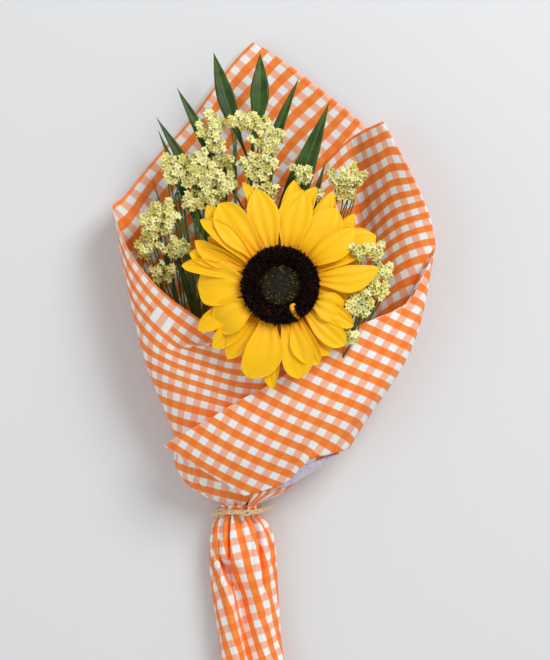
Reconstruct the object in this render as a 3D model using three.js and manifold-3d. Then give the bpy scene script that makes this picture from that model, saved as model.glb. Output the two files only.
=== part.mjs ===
// A hand-tied sunflower bouquet in a gingham paper wrap, lying on its back.
//
// One cut sunflower, yellow statice sprays and a palm frond are held in two
// overlapping sheets of wrapping paper, gathered at a neck and tied with twine.
// Millimetres, +Z up. While it is built the middle of the tie is the zero of X
// and Y: +Y runs along the stems to the top of the wrap, +X is to the right of
// someone who looks down at the bloom, and the floor is near z = 0. The last
// lines move the whole bouquet so that its origin is the bottom centre.

import * as THREE from 'three';
import { mergeVertices } from 'three/addons/utils/BufferGeometryUtils.js';
import Module from 'manifold-3d';

const wasm = await Module();
wasm.setup();

// ---------------------------------------------------------------- dimensions

const PAPER = 1.4;            // thickness of one modelled sheet, folds and air included
const SEAM = 0.6;             // gap between two pieces of one sheet
const SHEET_LINES = 10;       // lines across a sheet piece between the neck and its edge
const CLEAR = 0.4;            // gap between a piece and what it is cut around
const SECTION_POWER = 2.2;    // 2 is an ellipse, more is boxier

const NECK_HEIGHT = 17;       // middle of the tied neck above the floor
const NECK_TOP = 0.4;         // the sheets of the cone start this far above the middle of the tie
const TAIL_TOP = -0.4;        // the gathered tail starts this far below it
const TAIL_END = -160;        // the cut end of the paper tail
const TAIL_WALL = 2.2;        // gathered paper wall of the tail

const HEAD = new THREE.Vector3(30.4, 165.4, 96);   // middle of the sunflower head
const DISC_RADIUS = 28;
const DISC_DEPTH = 13;
const RAY_THICK = 3;
const SUNFLOWER_STEM = 4.6;   // radius at its cut end
const SPRAY_STEM = 1.3;       // radius of a statice stem at its cut end
const FROND_RIB = 1.8;
const BLADE_THICK = 1.4;
const STEM_END = -150;        // cut ends of the stems, inside the tail
const STEM_RING = 7.5;        // the thin stems stand round the thick one at the neck
const NECK_SQUASH = 0.85;     // the ring of stems is a little flat

// Rows of the two rolled sheets: distance above the tie, left edge, right edge,
// and the heights of the back, of the widest line and of the front.
const OUTER_SHEET = [
  [0, -13, 15, 4, 17, 29],
  [3, -13, 16, 4, 17, 29],
  [9, -25, 33, 2.5, 19, 36],
  [18, -38, 47, 1.5, 23, 45],
  [33, -47.5, 68, 0.9, 28, 55],
  [54, -48, 92, 0.9, 33, 63],
  [80, -57.5, 109, 0.9, 38, 72],
  [110, -69, 124, 0.9, 42, 79],
  [150, -79, 142, 0.9, 44, 82],
  [190, -87, 151, 0.9, 43, 81],
  [223, -93.5, 156, 1.2, 42, 78],
  [290, -118, 160, 4.6, 44, 78],
  [352, -140, 166, 12, 50, 80],
];
const FRONT_SHEET = [
  [0, -14, 14, 7.5, 17, 33],
  [3, -14, 14, 7.5, 17, 33],
  [12, -42, 32, 5.6, 22, 44],
  [21, -60, 43.5, 4.6, 26, 51],
  [46, -76, 79, 3.6, 34, 68],
  [80, -86, 102, 3.4, 39, 80],
  [111, -92, 118, 3.4, 44, 87],
  [138, -97, 133, 3.4, 47, 88],
  [171, -100, 139.5, 3.4, 50, 87],
  [190, -102, 143.5, 3.4, 51, 86],
  [230, -104, 150, 3.8, 48, 82],
  [289, -106, 152, 7.5, 48, 80],
];

// Cut edges of the sheets, corner to corner. A point is x, y and the side of the
// roll it is on: -1 behind the flowers, 1 in front of them.
const OUTER_EDGE = [
  [[100, 283, -1], [61, 316, -1], [10, 351, -1]],
  [[10, 351, -1], [-42, 287, -1], [-79, 241, -1], [-93.5, 223, 1], [-81, 193, 1],
    [-53, 160, 1], [-28, 142, 1], [2, 122, 1], [44, 96, 1]],
];
const FRONT_EDGE = [
  [[18, 228, -1], [63, 259, -1], [86, 280, -1], [107, 289, -1]],
  [[107, 289, -1], [118, 268, -1], [136, 230, -1], [143, 206, -1]],
  [[143, 206, -1], [138, 181, 1], [123, 154, 1], [87, 137, 1], [60, 121, 1], [33, 101, 1],
    [1, 83, 1], [-21, 69, 1], [-54, 49, 1]],
];
const FLAP_NECK_ANGLE = 436;  // where the front flap's loose lower edge reaches the neck

// Statice sprays: middle and half sizes of each mass of florets, and how far the
// stem sags towards the back.
const SPRAYS = [
  { name: 'left_low', middle: [-54, 188, 44], size: [22, 32, 16], arch: 2 },
  { name: 'left_mid', middle: [-37, 238, 49], size: [23, 30, 17], arch: 2 },
  { name: 'left_top', middle: [-19, 277, 50], size: [16, 18, 13], arch: 0 },
  { name: 'top', middle: [7, 285, 56], size: [17, 14, 11], arch: -8 },
  { name: 'centre', middle: [20, 249, 60], size: [18, 24, 14], arch: -8 },
  { name: 'right_top', middle: [76, 237, 56], size: [15, 21, 13], arch: 0 },
  { name: 'right_low', middle: [98, 171, 86], size: [19, 32, 13], arch: 10 },
];

// Ray flowers: the reach of the tips round the head, in equal steps from the
// right-hand side (+X), anticlockwise as the viewer sees it.
const RAY_REACH = [75, 71, 72, 74, 70, 74, 68, 76, 76, 72, 66, 74, 72, 60,
  62, 58, 66, 61, 72, 70, 78, 66, 64, 70, 62, 66];
const RAY_NOTCH = 0.72;       // the outline falls back to this share between tips

// Palm leaflets: the place of the root along the leafy part of the rib, and the tip.
const LEAFLETS = [
  { root: 0.20, tip: [65, 261] },
  { root: 0.50, tip: [67, 303] },
  { root: 0.74, tip: [44.5, 321] },
  { root: 0.93, tip: [15.5, 340] },
  { root: 0.90, tip: [-19, 340] },
  { root: 0.76, tip: [-46, 313] },
  { root: 0.64, tip: [-61, 291] },
  { root: 0.52, tip: [-60, 282] },
  { root: 0.04, tip: [-65, 248] },
];
const LEAFLET_WIDTH = 13;
const LEAF_TIP_HEIGHT = 34;

// ------------------------------------------------------------------- colours

const COLOURS = {
  paper: [0xf58a3c, 0.62],
  petal: [0xf6b800, 0.6],
  disc: [0x2c150d, 0.9],
  green: [0x4f7a33, 0.7],
  leaf: [0x1f4a2a, 0.5],
  floret: [0xdcd77a, 0.8],
  twine: [0xc9b183, 0.9],
  seal: [0xd9cfe4, 0.5],
};

const bouquet = new THREE.Group();

function add(name, geometry, finish) {
  const [color, roughness] = COLOURS[finish];
  const material = new THREE.MeshStandardMaterial({ color, roughness, metalness: 0 });
  const mesh = new THREE.Mesh(geometry, material);
  mesh.name = name;
  bouquet.add(mesh);
}

// ------------------------------------------------------------- solid helpers

// Merge the shared vertices and turn the faces outwards.
function closed(geometry) {
  geometry.deleteAttribute('normal');
  geometry.deleteAttribute('uv');
  const merged = mergeVertices(geometry, 1e-4);
  const index = merged.index.array;
  const [a, b, c] = [new THREE.Vector3(), new THREE.Vector3(), new THREE.Vector3()];
  let volume = 0;
  for (let i = 0; i < index.length; i += 3) {
    a.fromBufferAttribute(merged.attributes.position, index[i]);
    b.fromBufferAttribute(merged.attributes.position, index[i + 1]);
    c.fromBufferAttribute(merged.attributes.position, index[i + 2]);
    volume += a.dot(b.cross(c));
  }
  if (volume < 0) index.reverse();
  return merged;
}

// Move every vertex of a geometry by a function of its place.
function bend(geometry, place) {
  const at = geometry.attributes.position;
  const v = new THREE.Vector3();
  for (let i = 0; i < at.count; i += 1) {
    v.fromBufferAttribute(at, i);
    place(v);
    at.setXYZ(i, v.x, v.y, v.z);
  }
  return geometry;
}

function solid(geometry) {
  const triVerts = Uint32Array.from(geometry.index.array);
  const vertProperties = Float32Array.from(geometry.attributes.position.array);
  return new wasm.Manifold(new wasm.Mesh({ numProp: 3, vertProperties, triVerts }));
}

function geometryOf(body) {
  const mesh = body.getMesh();
  const geometry = new THREE.BufferGeometry();
  geometry.setAttribute('position', new THREE.BufferAttribute(mesh.vertProperties, 3));
  geometry.setIndex(new THREE.BufferAttribute(mesh.triVerts, 1));
  return geometry;
}

// Cut some solids out of a geometry and keep the largest piece of what is left.
function cutAround(geometry, cutters) {
  let body = solid(geometry);
  for (const cutter of cutters) body = body.subtract(solid(cutter));
  const pieces = body.decompose();
  pieces.sort((p, q) => q.volume() - p.volume());
  return geometryOf(pieces[0]);
}

// Join some closed geometries that overlap into one.
function joined(geometries) {
  return geometryOf(geometries.map(solid).reduce((sum, next) => sum.add(next)));
}

// ------------------------------------------------------------ the paper wrap

// Smooth reading of a table of rows at any distance above the tie.
function readRow(rows, y) {
  let i = rows.findIndex((row) => row[0] > y) - 1;
  if (i < 0) i = y <= rows[0][0] ? 0 : rows.length - 2;
  const [p0, p1, p2, p3] = [i - 1, i, i + 1, i + 2]
    .map((k) => rows[Math.min(Math.max(k, 0), rows.length - 1)]);
  const span = p2[0] - p1[0];
  const t = (y - p1[0]) / span;
  return p1.map((value, k) => {
    const m1 = ((p2[k] - p0[k]) / (p2[0] - p0[0])) * span;
    const m2 = ((p3[k] - p1[k]) / (p3[0] - p1[0])) * span;
    const [t2, t3] = [t * t, t * t * t];
    return (2 * t3 - 3 * t2 + 1) * value + (t3 - 2 * t2 + t) * m1
      + (3 * t2 - 2 * t3) * p2[k] + (t3 - t2) * m2;
  });
}

// A point of a rolled sheet. Angle 0 is the right side, 90 the front, 180 the
// left and 270 the back.
function sheetPoint(rows, angle, y) {
  const [, left, right, back, waist, front] = readRow(rows, y);
  const turn = THREE.MathUtils.degToRad(angle);
  const power = 2 / SECTION_POWER;
  const across = Math.sign(Math.cos(turn)) * Math.abs(Math.cos(turn)) ** power;
  const up = Math.sign(Math.sin(turn)) * Math.abs(Math.sin(turn)) ** power;
  const depth = up > 0 ? front - waist : waist - back;
  return new THREE.Vector3(
    (left + right) / 2 + ((right - left) / 2) * across, y, waist + depth * up);
}

// The angle at which a sheet passes over a place seen from the front.
function sheetAngle(rows, x, y, side) {
  const [, left, right] = readRow(rows, y);
  const across = THREE.MathUtils.clamp((2 * x - left - right) / (right - left), -1, 1);
  const cosine = Math.sign(across) * Math.abs(across) ** (SECTION_POWER / 2);
  const turn = THREE.MathUtils.radToDeg(Math.acos(cosine));
  return side > 0 ? turn : 360 - turn;
}

// The cut edge as a function of 0 to 1: the angle and the distance above the tie.
function cutEdge(rows, corners, unroll) {
  const curves = corners.map((points) => new THREE.CatmullRomCurve3(
    points.map(([x, y, side]) => new THREE.Vector3(unroll(sheetAngle(rows, x, y, side)), y, 0)),
    false, 'centripetal'));
  const lengths = curves.map((curve) => curve.getLength());
  const total = lengths.reduce((sum, length) => sum + length, 0);
  return (s) => {
    let along = s * total;
    let k = 0;
    while (k < curves.length - 1 && along > lengths[k]) {
      along -= lengths[k];
      k += 1;
    }
    const point = curves[k].getPointAt(Math.min(along / lengths[k], 1));
    return { angle: point.x, y: point.y };
  };
}

// One piece of a sheet, from share s0 to s1 of its cut edge, as a bent plate that
// stops half a seam short of its neighbours.
function sheetPiece(sheet, [s0, s1], columns, thick = PAPER) {
  const { rows, edge, neckAngle } = sheet;
  const at = (s, t) => {
    const end = edge(s);
    const angle = THREE.MathUtils.lerp(neckAngle(end.angle), end.angle, t);
    return sheetPoint(rows, angle, THREE.MathUtils.lerp(NECK_TOP, end.y, t));
  };
  const step = 1e-3;
  const plate = new THREE.BoxGeometry(1, 1, 1, columns, SHEET_LINES, 1);
  return closed(bend(plate, (v) => {
    const s = THREE.MathUtils.lerp(s0, s1, v.x + 0.5);
    const t = (v.y + 0.5) ** 1.15;
    const here = at(s, t);
    const alongEdge = at(Math.min(s + step, 1), t).sub(at(Math.max(s - step, 0), t));
    const alongRib = at(s, Math.min(t + step, 1)).sub(at(s, Math.max(t - step, 0)));
    const out = alongEdge.clone().cross(alongRib).normalize().multiplyScalar(v.z * thick);
    const inset = Math.abs(v.x) === 0.5 ? -Math.sign(v.x) * SEAM / 2 : 0;
    v.copy(here).add(out).addScaledVector(alongEdge.normalize(), inset);
  }));
}

const roundTheBack = (limit) => (angle) => (angle < limit ? angle + 360 : angle);
const outerSheet = {
  rows: OUTER_SHEET,
  edge: cutEdge(OUTER_SHEET, OUTER_EDGE, roundTheBack(60)),
  neckAngle: (angle) => angle,
  pieces: [
    ['wrap_back_right', [0, 0.24], 5],
    ['wrap_back_left', [0.24, 0.55], 6],
    ['wrap_left_side', [0.55, 0.72], 7],
    ['wrap_left_front', [0.72, 1], 7],
  ],
};
const frontSheet = {
  rows: FRONT_SHEET,
  edge: cutEdge(FRONT_SHEET, FRONT_EDGE, roundTheBack(180)),
  neckAngle: (angle) => Math.min(angle, FLAP_NECK_ANGLE + (angle - FLAP_NECK_ANGLE) * 0.02),
  pieces: [
    ['wrap_right_back', [0, 0.26], 5],
    ['wrap_right_wall', [0.26, 0.46], 6],
    ['wrap_right_side', [0.46, 0.60], 6],
    ['wrap_front_flap', [0.60, 1], 10],
  ],
};
for (const sheet of [outerSheet, frontSheet]) {
  for (const [name, share, columns] of sheet.pieces) {
    add(name, sheetPiece(sheet, share, columns), 'paper');
  }
}

// --------------------------------------------------------- the tail and tie

// The gathered tail: an open tube of fluted paper that swells below the tie.
const TAIL_ROWS = [          // distance above the tie, middle x, half width, half height
  [-160, 15, 34, 15],
  [-109, 8, 29.5, 14.5],
  [-70, 4, 26.5, 14.5],
  [-28, 2, 23.5, 15],
  [-12, 1, 19, 14.5],
  [-6, 0, 14, 12.5],
  [0, 0, 14, 12.5],
];
const TAIL_FLUTES = 9;
const NECK_DROP = 0.28;       // fall of the middle line for each millimetre below the tie

function tailTube() {
  const lines = 8;
  const profile = [];
  for (let i = 0; i <= lines; i += 1) profile.push(new THREE.Vector2(1, i / lines));
  for (let i = lines; i >= 0; i -= 1) profile.push(new THREE.Vector2(0, i / lines));
  profile.push(profile[0].clone());
  const tube = new THREE.LatheGeometry(profile.map((p) => new THREE.Vector2(p.x + 1, p.y)), 3 * TAIL_FLUTES);
  return closed(bend(tube, (v) => {
    const radius = Math.hypot(v.x, v.z);
    const turn = Math.atan2(v.z, v.x);
    const y = THREE.MathUtils.lerp(TAIL_TOP, TAIL_END, (1 - v.y) ** 1.8);
    const [, middle, halfWidth, halfHeight] = readRow(TAIL_ROWS, y);
    const flute = 1 - 0.05 * (1 - Math.cos(TAIL_FLUTES * turn));
    const inset = (2 - radius) * TAIL_WALL;
    const height = Math.sin(turn) * (halfHeight * flute - inset);
    v.set(middle + Math.cos(turn) * (halfWidth * flute - inset), y, 0);
    v.z = Math.max(halfHeight, NECK_HEIGHT + y * NECK_DROP) + height;
  }));
}
add('wrap_tail', tailTube(), 'paper');

const TWINE = 1.1;            // radius of the twine
const TIE = { turns: 2, first: -1.7, halfWidth: 16.6, halfHeight: 15.6, height: 17.2 };
for (let turn = 0; turn < TIE.turns; turn += 1) {
  const ring = new THREE.TorusGeometry(TIE.halfWidth, TWINE, 6, 20);
  const along = TIE.first - turn * (2 * TWINE + SEAM);
  bend(ring, (v) => {
    const angle = Math.atan2(v.y, v.x);
    const out = Math.hypot(v.x, v.y) - TIE.halfWidth;
    v.set(Math.cos(angle) * (TIE.halfWidth + out), along + v.z,
      TIE.height + Math.sin(angle) * (TIE.halfHeight + out));
  });
  add(`tie_turn_${turn + 1}`, closed(ring), 'twine');
}

// -------------------------------------------------------------- stem helpers

// A round limb along a curve that tapers from one radius to another.
function limb(points, startRadius, endRadius, sides = 6, steps = 14) {
  const path = new THREE.CatmullRomCurve3(points, false, 'centripetal');
  const section = new THREE.Shape().absarc(0, 0, startRadius, 0, 2 * Math.PI, false);
  const tube = new THREE.ExtrudeGeometry(section, {
    steps, curveSegments: sides / 2, bevelEnabled: false, extrudePath: path,
  });
  const stations = path.getSpacedPoints(steps);
  return closed(bend(tube, (v) => {
    let nearest = 0;
    stations.forEach((p, i) => {
      if (p.distanceTo(v) < stations[nearest].distanceTo(v)) nearest = i;
    });
    const scale = THREE.MathUtils.lerp(1, endRadius / startRadius, nearest / steps);
    v.sub(stations[nearest]).multiplyScalar(scale).add(stations[nearest]);
  }));
}

// A stem from its cut end through its place in the neck up to its head.
function stemPath(place, head, arch) {
  const across = Math.cos(place) * STEM_RING;
  const up = Math.sin(place) * STEM_RING * NECK_SQUASH;
  const neck = new THREE.Vector3(across, 0, NECK_HEIGHT + up);
  const foot = new THREE.Vector3(9 + across * 1.7, STEM_END, 14.5 + up * 1.1);
  const middle = neck.clone().lerp(head, 0.5);
  middle.z -= arch;
  return [foot, foot.clone().lerp(neck, 0.5), neck, middle, head];
}

// ------------------------------------------------------ the knot of the twine

// A small knot in front of the neck and the two cut ends that leave it.
const KNOT = new THREE.Vector3(6, TIE.first - TWINE - SEAM / 2, TIE.height + TIE.halfHeight + 2.2);
const knot = new THREE.SphereGeometry(1, 10, 8);
knot.scale(3.4, 2.4, 1.9);
knot.translate(KNOT.x, KNOT.y, KNOT.z + 1.4);
add('tie_knot', closed(knot), 'twine');
for (const [name, reach] of [['left', [-26, -1, -8]], ['right', [19, 2, -9]]]) {
  const side = Math.sign(reach[0]);
  const start = KNOT.clone().add(new THREE.Vector3(side * 4.4, 0, 1.4));
  const tip = KNOT.clone().add(new THREE.Vector3(...reach));
  const middle = start.clone().lerp(tip, 0.5).add(new THREE.Vector3(side * 2, 0, 3.5));
  add(`tie_end_${name}`, limb([start, middle, tip], 0.9, 0.5, 6, 8), 'twine');
}

// -------------------------------------------------------------- the sunflower

const stemTop = HEAD.clone().add(new THREE.Vector3(0, -4, -15));
const sunflowerPath = [
  new THREE.Vector3(9, STEM_END, 14.5),
  new THREE.Vector3(3, -60, 15.5),
  new THREE.Vector3(0, 0, NECK_HEIGHT),
  new THREE.Vector3(14, 80, 36),
  new THREE.Vector3(26, 135, 52),
  stemTop,
];
const sunflowerStem = (grow) => limb(sunflowerPath, SUNFLOWER_STEM + grow, 3.6 + grow, 10, 26);
add('sunflower_stem', sunflowerStem(0), 'green');

// Disc: a low dome with a sunk middle, facing the viewer.
function disc(grow) {
  const radius = DISC_RADIUS + grow;
  const top = DISC_DEPTH / 2 + grow;
  const base = -DISC_DEPTH / 2 + 1 - grow;
  const profile = [[0, base], [radius * 0.8, base], [radius, 0], [radius * 0.97, top * 0.5],
    [radius * 0.8, top], [radius * 0.5, top * 0.8], [0, top * 0.75]];
  const dome = new THREE.LatheGeometry(profile.map(([x, y]) => new THREE.Vector2(x, y)), 32);
  dome.rotateX(Math.PI / 2);
  dome.translate(HEAD.x, HEAD.y, HEAD.z + 5);
  return closed(dome);
}
add('sunflower_disc', disc(0), 'disc');

// Rays: one starry, uneven dish round the disc.
function rays(grow) {
  const count = RAY_REACH.length;
  const outline = new THREE.Shape();
  for (let i = 0; i < count; i += 1) {
    const next = RAY_REACH[(i + 1) % count];
    const notch = RAY_NOTCH * Math.min(RAY_REACH[i], next);
    const places = [[i - 0.2, RAY_REACH[i] * 0.9], [i, RAY_REACH[i]],
      [i + 0.2, RAY_REACH[i] * 0.9], [i + 0.5, notch]];
    for (const [place, reach] of places) {
      const turn = (place / count) * 2 * Math.PI;
      const move = outline.curves.length || i + place > 0 ? 'lineTo' : 'moveTo';
      outline[move](Math.cos(turn) * (reach + grow), Math.sin(turn) * (reach + grow));
    }
  }
  const eye = new THREE.Path().absarc(0, 0, DISC_RADIUS + CLEAR + 0.4 - grow, 0, 2 * Math.PI, true);
  outline.holes.push(eye);
  const plate = new THREE.ExtrudeGeometry(outline, {
    depth: RAY_THICK + 2 * grow, bevelEnabled: false, curveSegments: 26,
  });
  return closed(bend(plate, (v) => {
    const reach = Math.hypot(v.x, v.y);
    const wave = Math.sin(3 * Math.atan2(v.y, v.x) + 1);
    const lift = 2 - 9 * Math.max(0, reach / 75 - 0.55) ** 1.5 + (wave * reach) / 40;
    v.set(v.x + HEAD.x, v.y + HEAD.y, v.z + HEAD.z - grow + lift);
  }));
}
add('sunflower_rays', rays(0), 'petal');

// Bract cup: the green back of the head, that the stem runs into.
function bracts(grow) {
  const profile = [[0, -15], [6, -14.4], [19, -8], [DISC_RADIUS + 6, -2.6], [0, -2.6]];
  const cup = new THREE.LatheGeometry(profile.map(([x, y]) => new THREE.Vector2(x, y)), 26);
  cup.rotateX(Math.PI / 2);
  cup.translate(HEAD.x, HEAD.y, HEAD.z - grow);
  return closed(cup);
}
add('sunflower_bracts', cutAround(bracts(0), [sunflowerStem(CLEAR), disc(CLEAR)]), 'green');

// ------------------------------------------------------------- the palm frond

const ribPath = [
  new THREE.Vector3(8, STEM_END, 8),
  new THREE.Vector3(1, 0, NECK_HEIGHT - 6.6),
  new THREE.Vector3(3, 60, 17),
  new THREE.Vector3(5, 140, 23),
  new THREE.Vector3(8, 220, 27),
  new THREE.Vector3(10, 282, 30),
];
const ribCurve = new THREE.CatmullRomCurve3(ribPath, false, 'centripetal');
const FROND_FOOT = 0.36;      // share of the rib below the lowest leaflet

// A leaflet: a lance-shaped thin plate that rises from the rib to its tip.
function leaflet({ root, tip }, grow) {
  const from = ribCurve.getPointAt(THREE.MathUtils.lerp(FROND_FOOT, 1, root));
  const along = new THREE.Vector3(tip[0] - from.x, tip[1] - from.y, LEAF_TIP_HEIGHT - from.z);
  const length = Math.hypot(along.x, along.y);
  const lance = [[0, 1.6], [0.25, 4.5], [0.55, LEAFLET_WIDTH / 2], [0.85, 3.2], [1, 0.4]];
  const edge = [...lance, ...[...lance].reverse().map(([share, width]) => [share, -width])];
  const outline = new THREE.Shape(edge.map(([share, width]) => new THREE.Vector2(
    share * length, width + Math.sign(width) * grow)));
  const plate = new THREE.ExtrudeGeometry(outline, {
    depth: BLADE_THICK + 2 * grow, bevelEnabled: false,
  });
  const turn = Math.atan2(along.y, along.x);
  return closed(bend(plate, (v) => {
    const share = v.x / length;
    v.set(from.x + Math.cos(turn) * v.x - Math.sin(turn) * v.y,
      from.y + Math.sin(turn) * v.x + Math.cos(turn) * v.y,
      from.z + along.z * share + v.z - BLADE_THICK / 2 - grow);
  }));
}

const rib = (grow) => limb(ribPath, FROND_RIB + grow, 0.8 + grow, 6, 24);
const frondParts = (grow) => [rib(grow), ...LEAFLETS.map((spike) => leaflet(spike, grow))];
add('palm_frond', joined(frondParts(0)), 'leaf');

// ---------------------------------------------------------- the statice sprays

// The thin stems stand round the sunflower's stem, in the order of their heads.
const heads = SPRAYS.map(({ middle }) => new THREE.Vector3(...middle));
const places = [205, 175, 145, 110, 70, 35, 0].map((angle) => THREE.MathUtils.degToRad(angle));
const sprayPaths = heads.map((head, i) => {
  const foot = head.clone();
  foot.y -= SPRAYS[i].size[1] * 0.7;
  foot.z -= SPRAYS[i].size[2] * 0.5;
  return stemPath(places[i], foot, SPRAYS[i].arch);
});
const sprayStem = (i, grow) => limb(sprayPaths[i], SPRAY_STEM + grow, 0.9 + grow, 6, 11);

// An uneven closed solid: a ball of small faces pushed in and out by slow waves.
function unevenMass(middle, size, seed) {
  const ball = new THREE.IcosahedronGeometry(1, 2);
  return closed(bend(ball, (v) => {
    const wave = Math.sin(4 * v.x + seed) + Math.sin(5 * v.y + 2 * seed) + Math.sin(6 * v.z + 3 * seed);
    v.multiplyScalar(0.93 + 0.045 * wave);
    v.set(middle[0] + v.x * size[0], middle[1] + v.y * size[1], middle[2] + v.z * size[2]);
  }));
}

const cutters = [rays(CLEAR), disc(CLEAR), bracts(CLEAR), sunflowerStem(CLEAR), ...frondParts(CLEAR),
  ...SPRAYS.map((_, i) => sprayStem(i, CLEAR)),
  sheetPiece(frontSheet, [0.46, 0.60], 6, PAPER + 2 * CLEAR),
  sheetPiece(frontSheet, [0.60, 1], 10, PAPER + 2 * CLEAR)];
SPRAYS.forEach(({ name, middle, size }, i) => {
  add(`statice_stem_${name}`, sprayStem(i, 0), 'green');
  add(`statice_${name}`, cutAround(unevenMass(middle, size, i), cutters), 'floret');
  cutters.push(unevenMass(middle, size.map((half) => half + CLEAR), i));
});

// ------------------------------------------------------------ the plain seal

// A small plain round seal on the right-hand side of the front sheet.
const SEAL = { angle: 392, y: 32, radius: 15, thick: 0.8, lift: 1.3 };

function seal() {
  const { rows } = frontSheet;
  const here = sheetPoint(rows, SEAL.angle, SEAL.y);
  const perDegree = sheetPoint(rows, SEAL.angle + 1, SEAL.y).distanceTo(here);
  const perRise = sheetPoint(rows, SEAL.angle, SEAL.y + 1).distanceTo(here);
  const disc = new THREE.CylinderGeometry(SEAL.radius, SEAL.radius, 1, 20, 1);
  return closed(bend(disc, (v) => {
    const angle = SEAL.angle + v.x / perDegree;
    const y = SEAL.y + v.z / perRise;
    const place = sheetPoint(rows, angle, y);
    const out = sheetPoint(rows, angle + 0.1, y).sub(place)
      .cross(sheetPoint(rows, angle, y + 0.1).sub(place)).normalize();
    if (out.x < 0) out.negate();
    const lift = SEAL.lift + (v.y + 0.5) * SEAL.thick;
    v.copy(place).addScaledVector(out, lift);
  }));
}
add('seal', seal(), 'seal');

// ---------------------------------------------- the origin at the bottom centre

const box = new THREE.Box3().setFromObject(bouquet);
const centre = box.getCenter(new THREE.Vector3());
bouquet.position.set(-centre.x, -centre.y, -box.min.z);

export default bouquet;
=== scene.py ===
# %% [markdown]
# # A wrapped sunflower bouquet
# A hand-tied bouquet lies on its back: one cut sunflower, sprays of yellow statice and a palm
# frond, in two sheets of gingham wrapping paper that are gathered at a neck and tied. The packed
# model gives the place and size of everything. This notebook grows the real surfaces around it:
# thin printed paper, petals, florets, leaflets and twisted twine.

# %% The frame
import math
import random

import bmesh
import bpy
import numpy as np
from mathutils import Matrix, Vector


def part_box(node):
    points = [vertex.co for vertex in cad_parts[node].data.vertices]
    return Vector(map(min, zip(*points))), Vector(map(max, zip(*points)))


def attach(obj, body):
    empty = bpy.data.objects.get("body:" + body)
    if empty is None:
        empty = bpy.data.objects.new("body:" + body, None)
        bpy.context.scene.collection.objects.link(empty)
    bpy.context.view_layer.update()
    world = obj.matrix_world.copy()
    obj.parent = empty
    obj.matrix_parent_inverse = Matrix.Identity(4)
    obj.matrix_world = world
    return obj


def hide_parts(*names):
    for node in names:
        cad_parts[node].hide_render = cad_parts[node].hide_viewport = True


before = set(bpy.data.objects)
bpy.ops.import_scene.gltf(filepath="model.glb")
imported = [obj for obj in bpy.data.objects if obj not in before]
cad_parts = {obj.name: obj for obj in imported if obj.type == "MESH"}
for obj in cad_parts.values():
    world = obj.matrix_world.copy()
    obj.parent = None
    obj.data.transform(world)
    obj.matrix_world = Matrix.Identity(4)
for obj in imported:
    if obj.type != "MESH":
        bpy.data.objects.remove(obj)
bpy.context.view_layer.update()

# %% [markdown]
# A florist works outwards from the tie, so every place here is in millimetres from the middle of
# the tied neck: x to the right of the viewer, y up the stems, z up from the table. The packed
# turn of twine says where that zero is in the shared frame, and one function moves a finished
# mesh there and turns millimetres into metres.

# %% From the tie's millimetres to the shared frame
MM = 0.001
TIE_TURN = Vector((0, -1.7, 17.2))        # middle of the first turn of twine, from the zero of the tie
turn_low, turn_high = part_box("tie_turn_1")
ZERO = (turn_low + turn_high) / 2 - TIE_TURN * MM


def finished(mesh_source, name, *materials):
    """Turns a bmesh, drawn in the tie's millimetres, into an object in the shared frame."""
    mesh = bpy.data.meshes.new(name)
    mesh_source.transform(Matrix.Translation(ZERO) @ Matrix.Scale(MM, 4))
    mesh_source.to_mesh(mesh)
    mesh_source.free()
    for material in materials:
        mesh.materials.append(material)
    mesh.shade_smooth()
    piece = bpy.data.objects.new(name, mesh)
    bpy.context.scene.collection.objects.link(piece)
    print(name, len(mesh.vertices), "vertices,", len(mesh.polygons), "faces")
    return piece


def stands_for(piece, slot, *nodes):
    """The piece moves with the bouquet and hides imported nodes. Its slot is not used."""
    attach(piece, "root")
    if nodes:
        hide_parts(*nodes)


def modifier(piece, kind, **settings):
    """Adds a modifier with its settings."""
    added = piece.modifiers.new(kind.title(), kind)
    for key, value in settings.items():
        setattr(added, key, value)


def thickened(piece, millimetres, **settings):
    """Gives a surface its thickness, half to each side."""
    modifier(piece, "SOLIDIFY", thickness=millimetres * MM, offset=0, **settings)


print("the tie's zero is at", [round(c, 4) for c in ZERO])

# %% [markdown]
# ## Shader arithmetic
# A finish is mostly arithmetic on coordinates: which stripe a point is on, how far it is from a
# vein. `Wire` wraps a node's socket so that Python's own operators add Math nodes, and
# `Finish.node` makes any other node.

# %% Wires and finishes
class Wire:
    """A socket of a material that + - * abs() and comparisons work on."""

    def __init__(self, finish, socket):
        self.finish, self.socket = finish, socket

    def _maths(self, operation, *values):
        return self.finish.node("ShaderNodeMath", {"operation": operation}, *values)

    def __add__(self, other):
        return self._maths("ADD", self, other)

    def __sub__(self, other):
        return self._maths("SUBTRACT", self, other)

    def __rsub__(self, other):
        return self._maths("SUBTRACT", other, self)

    def __mul__(self, other):
        return self._maths("MULTIPLY", self, other)

    def __gt__(self, other):
        return self._maths("GREATER_THAN", self, other)

    def __lt__(self, other):
        return self._maths("LESS_THAN", self, other)

    def __abs__(self):
        return self._maths("ABSOLUTE", self)

    __radd__ = __add__
    __rmul__ = __mul__


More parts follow.
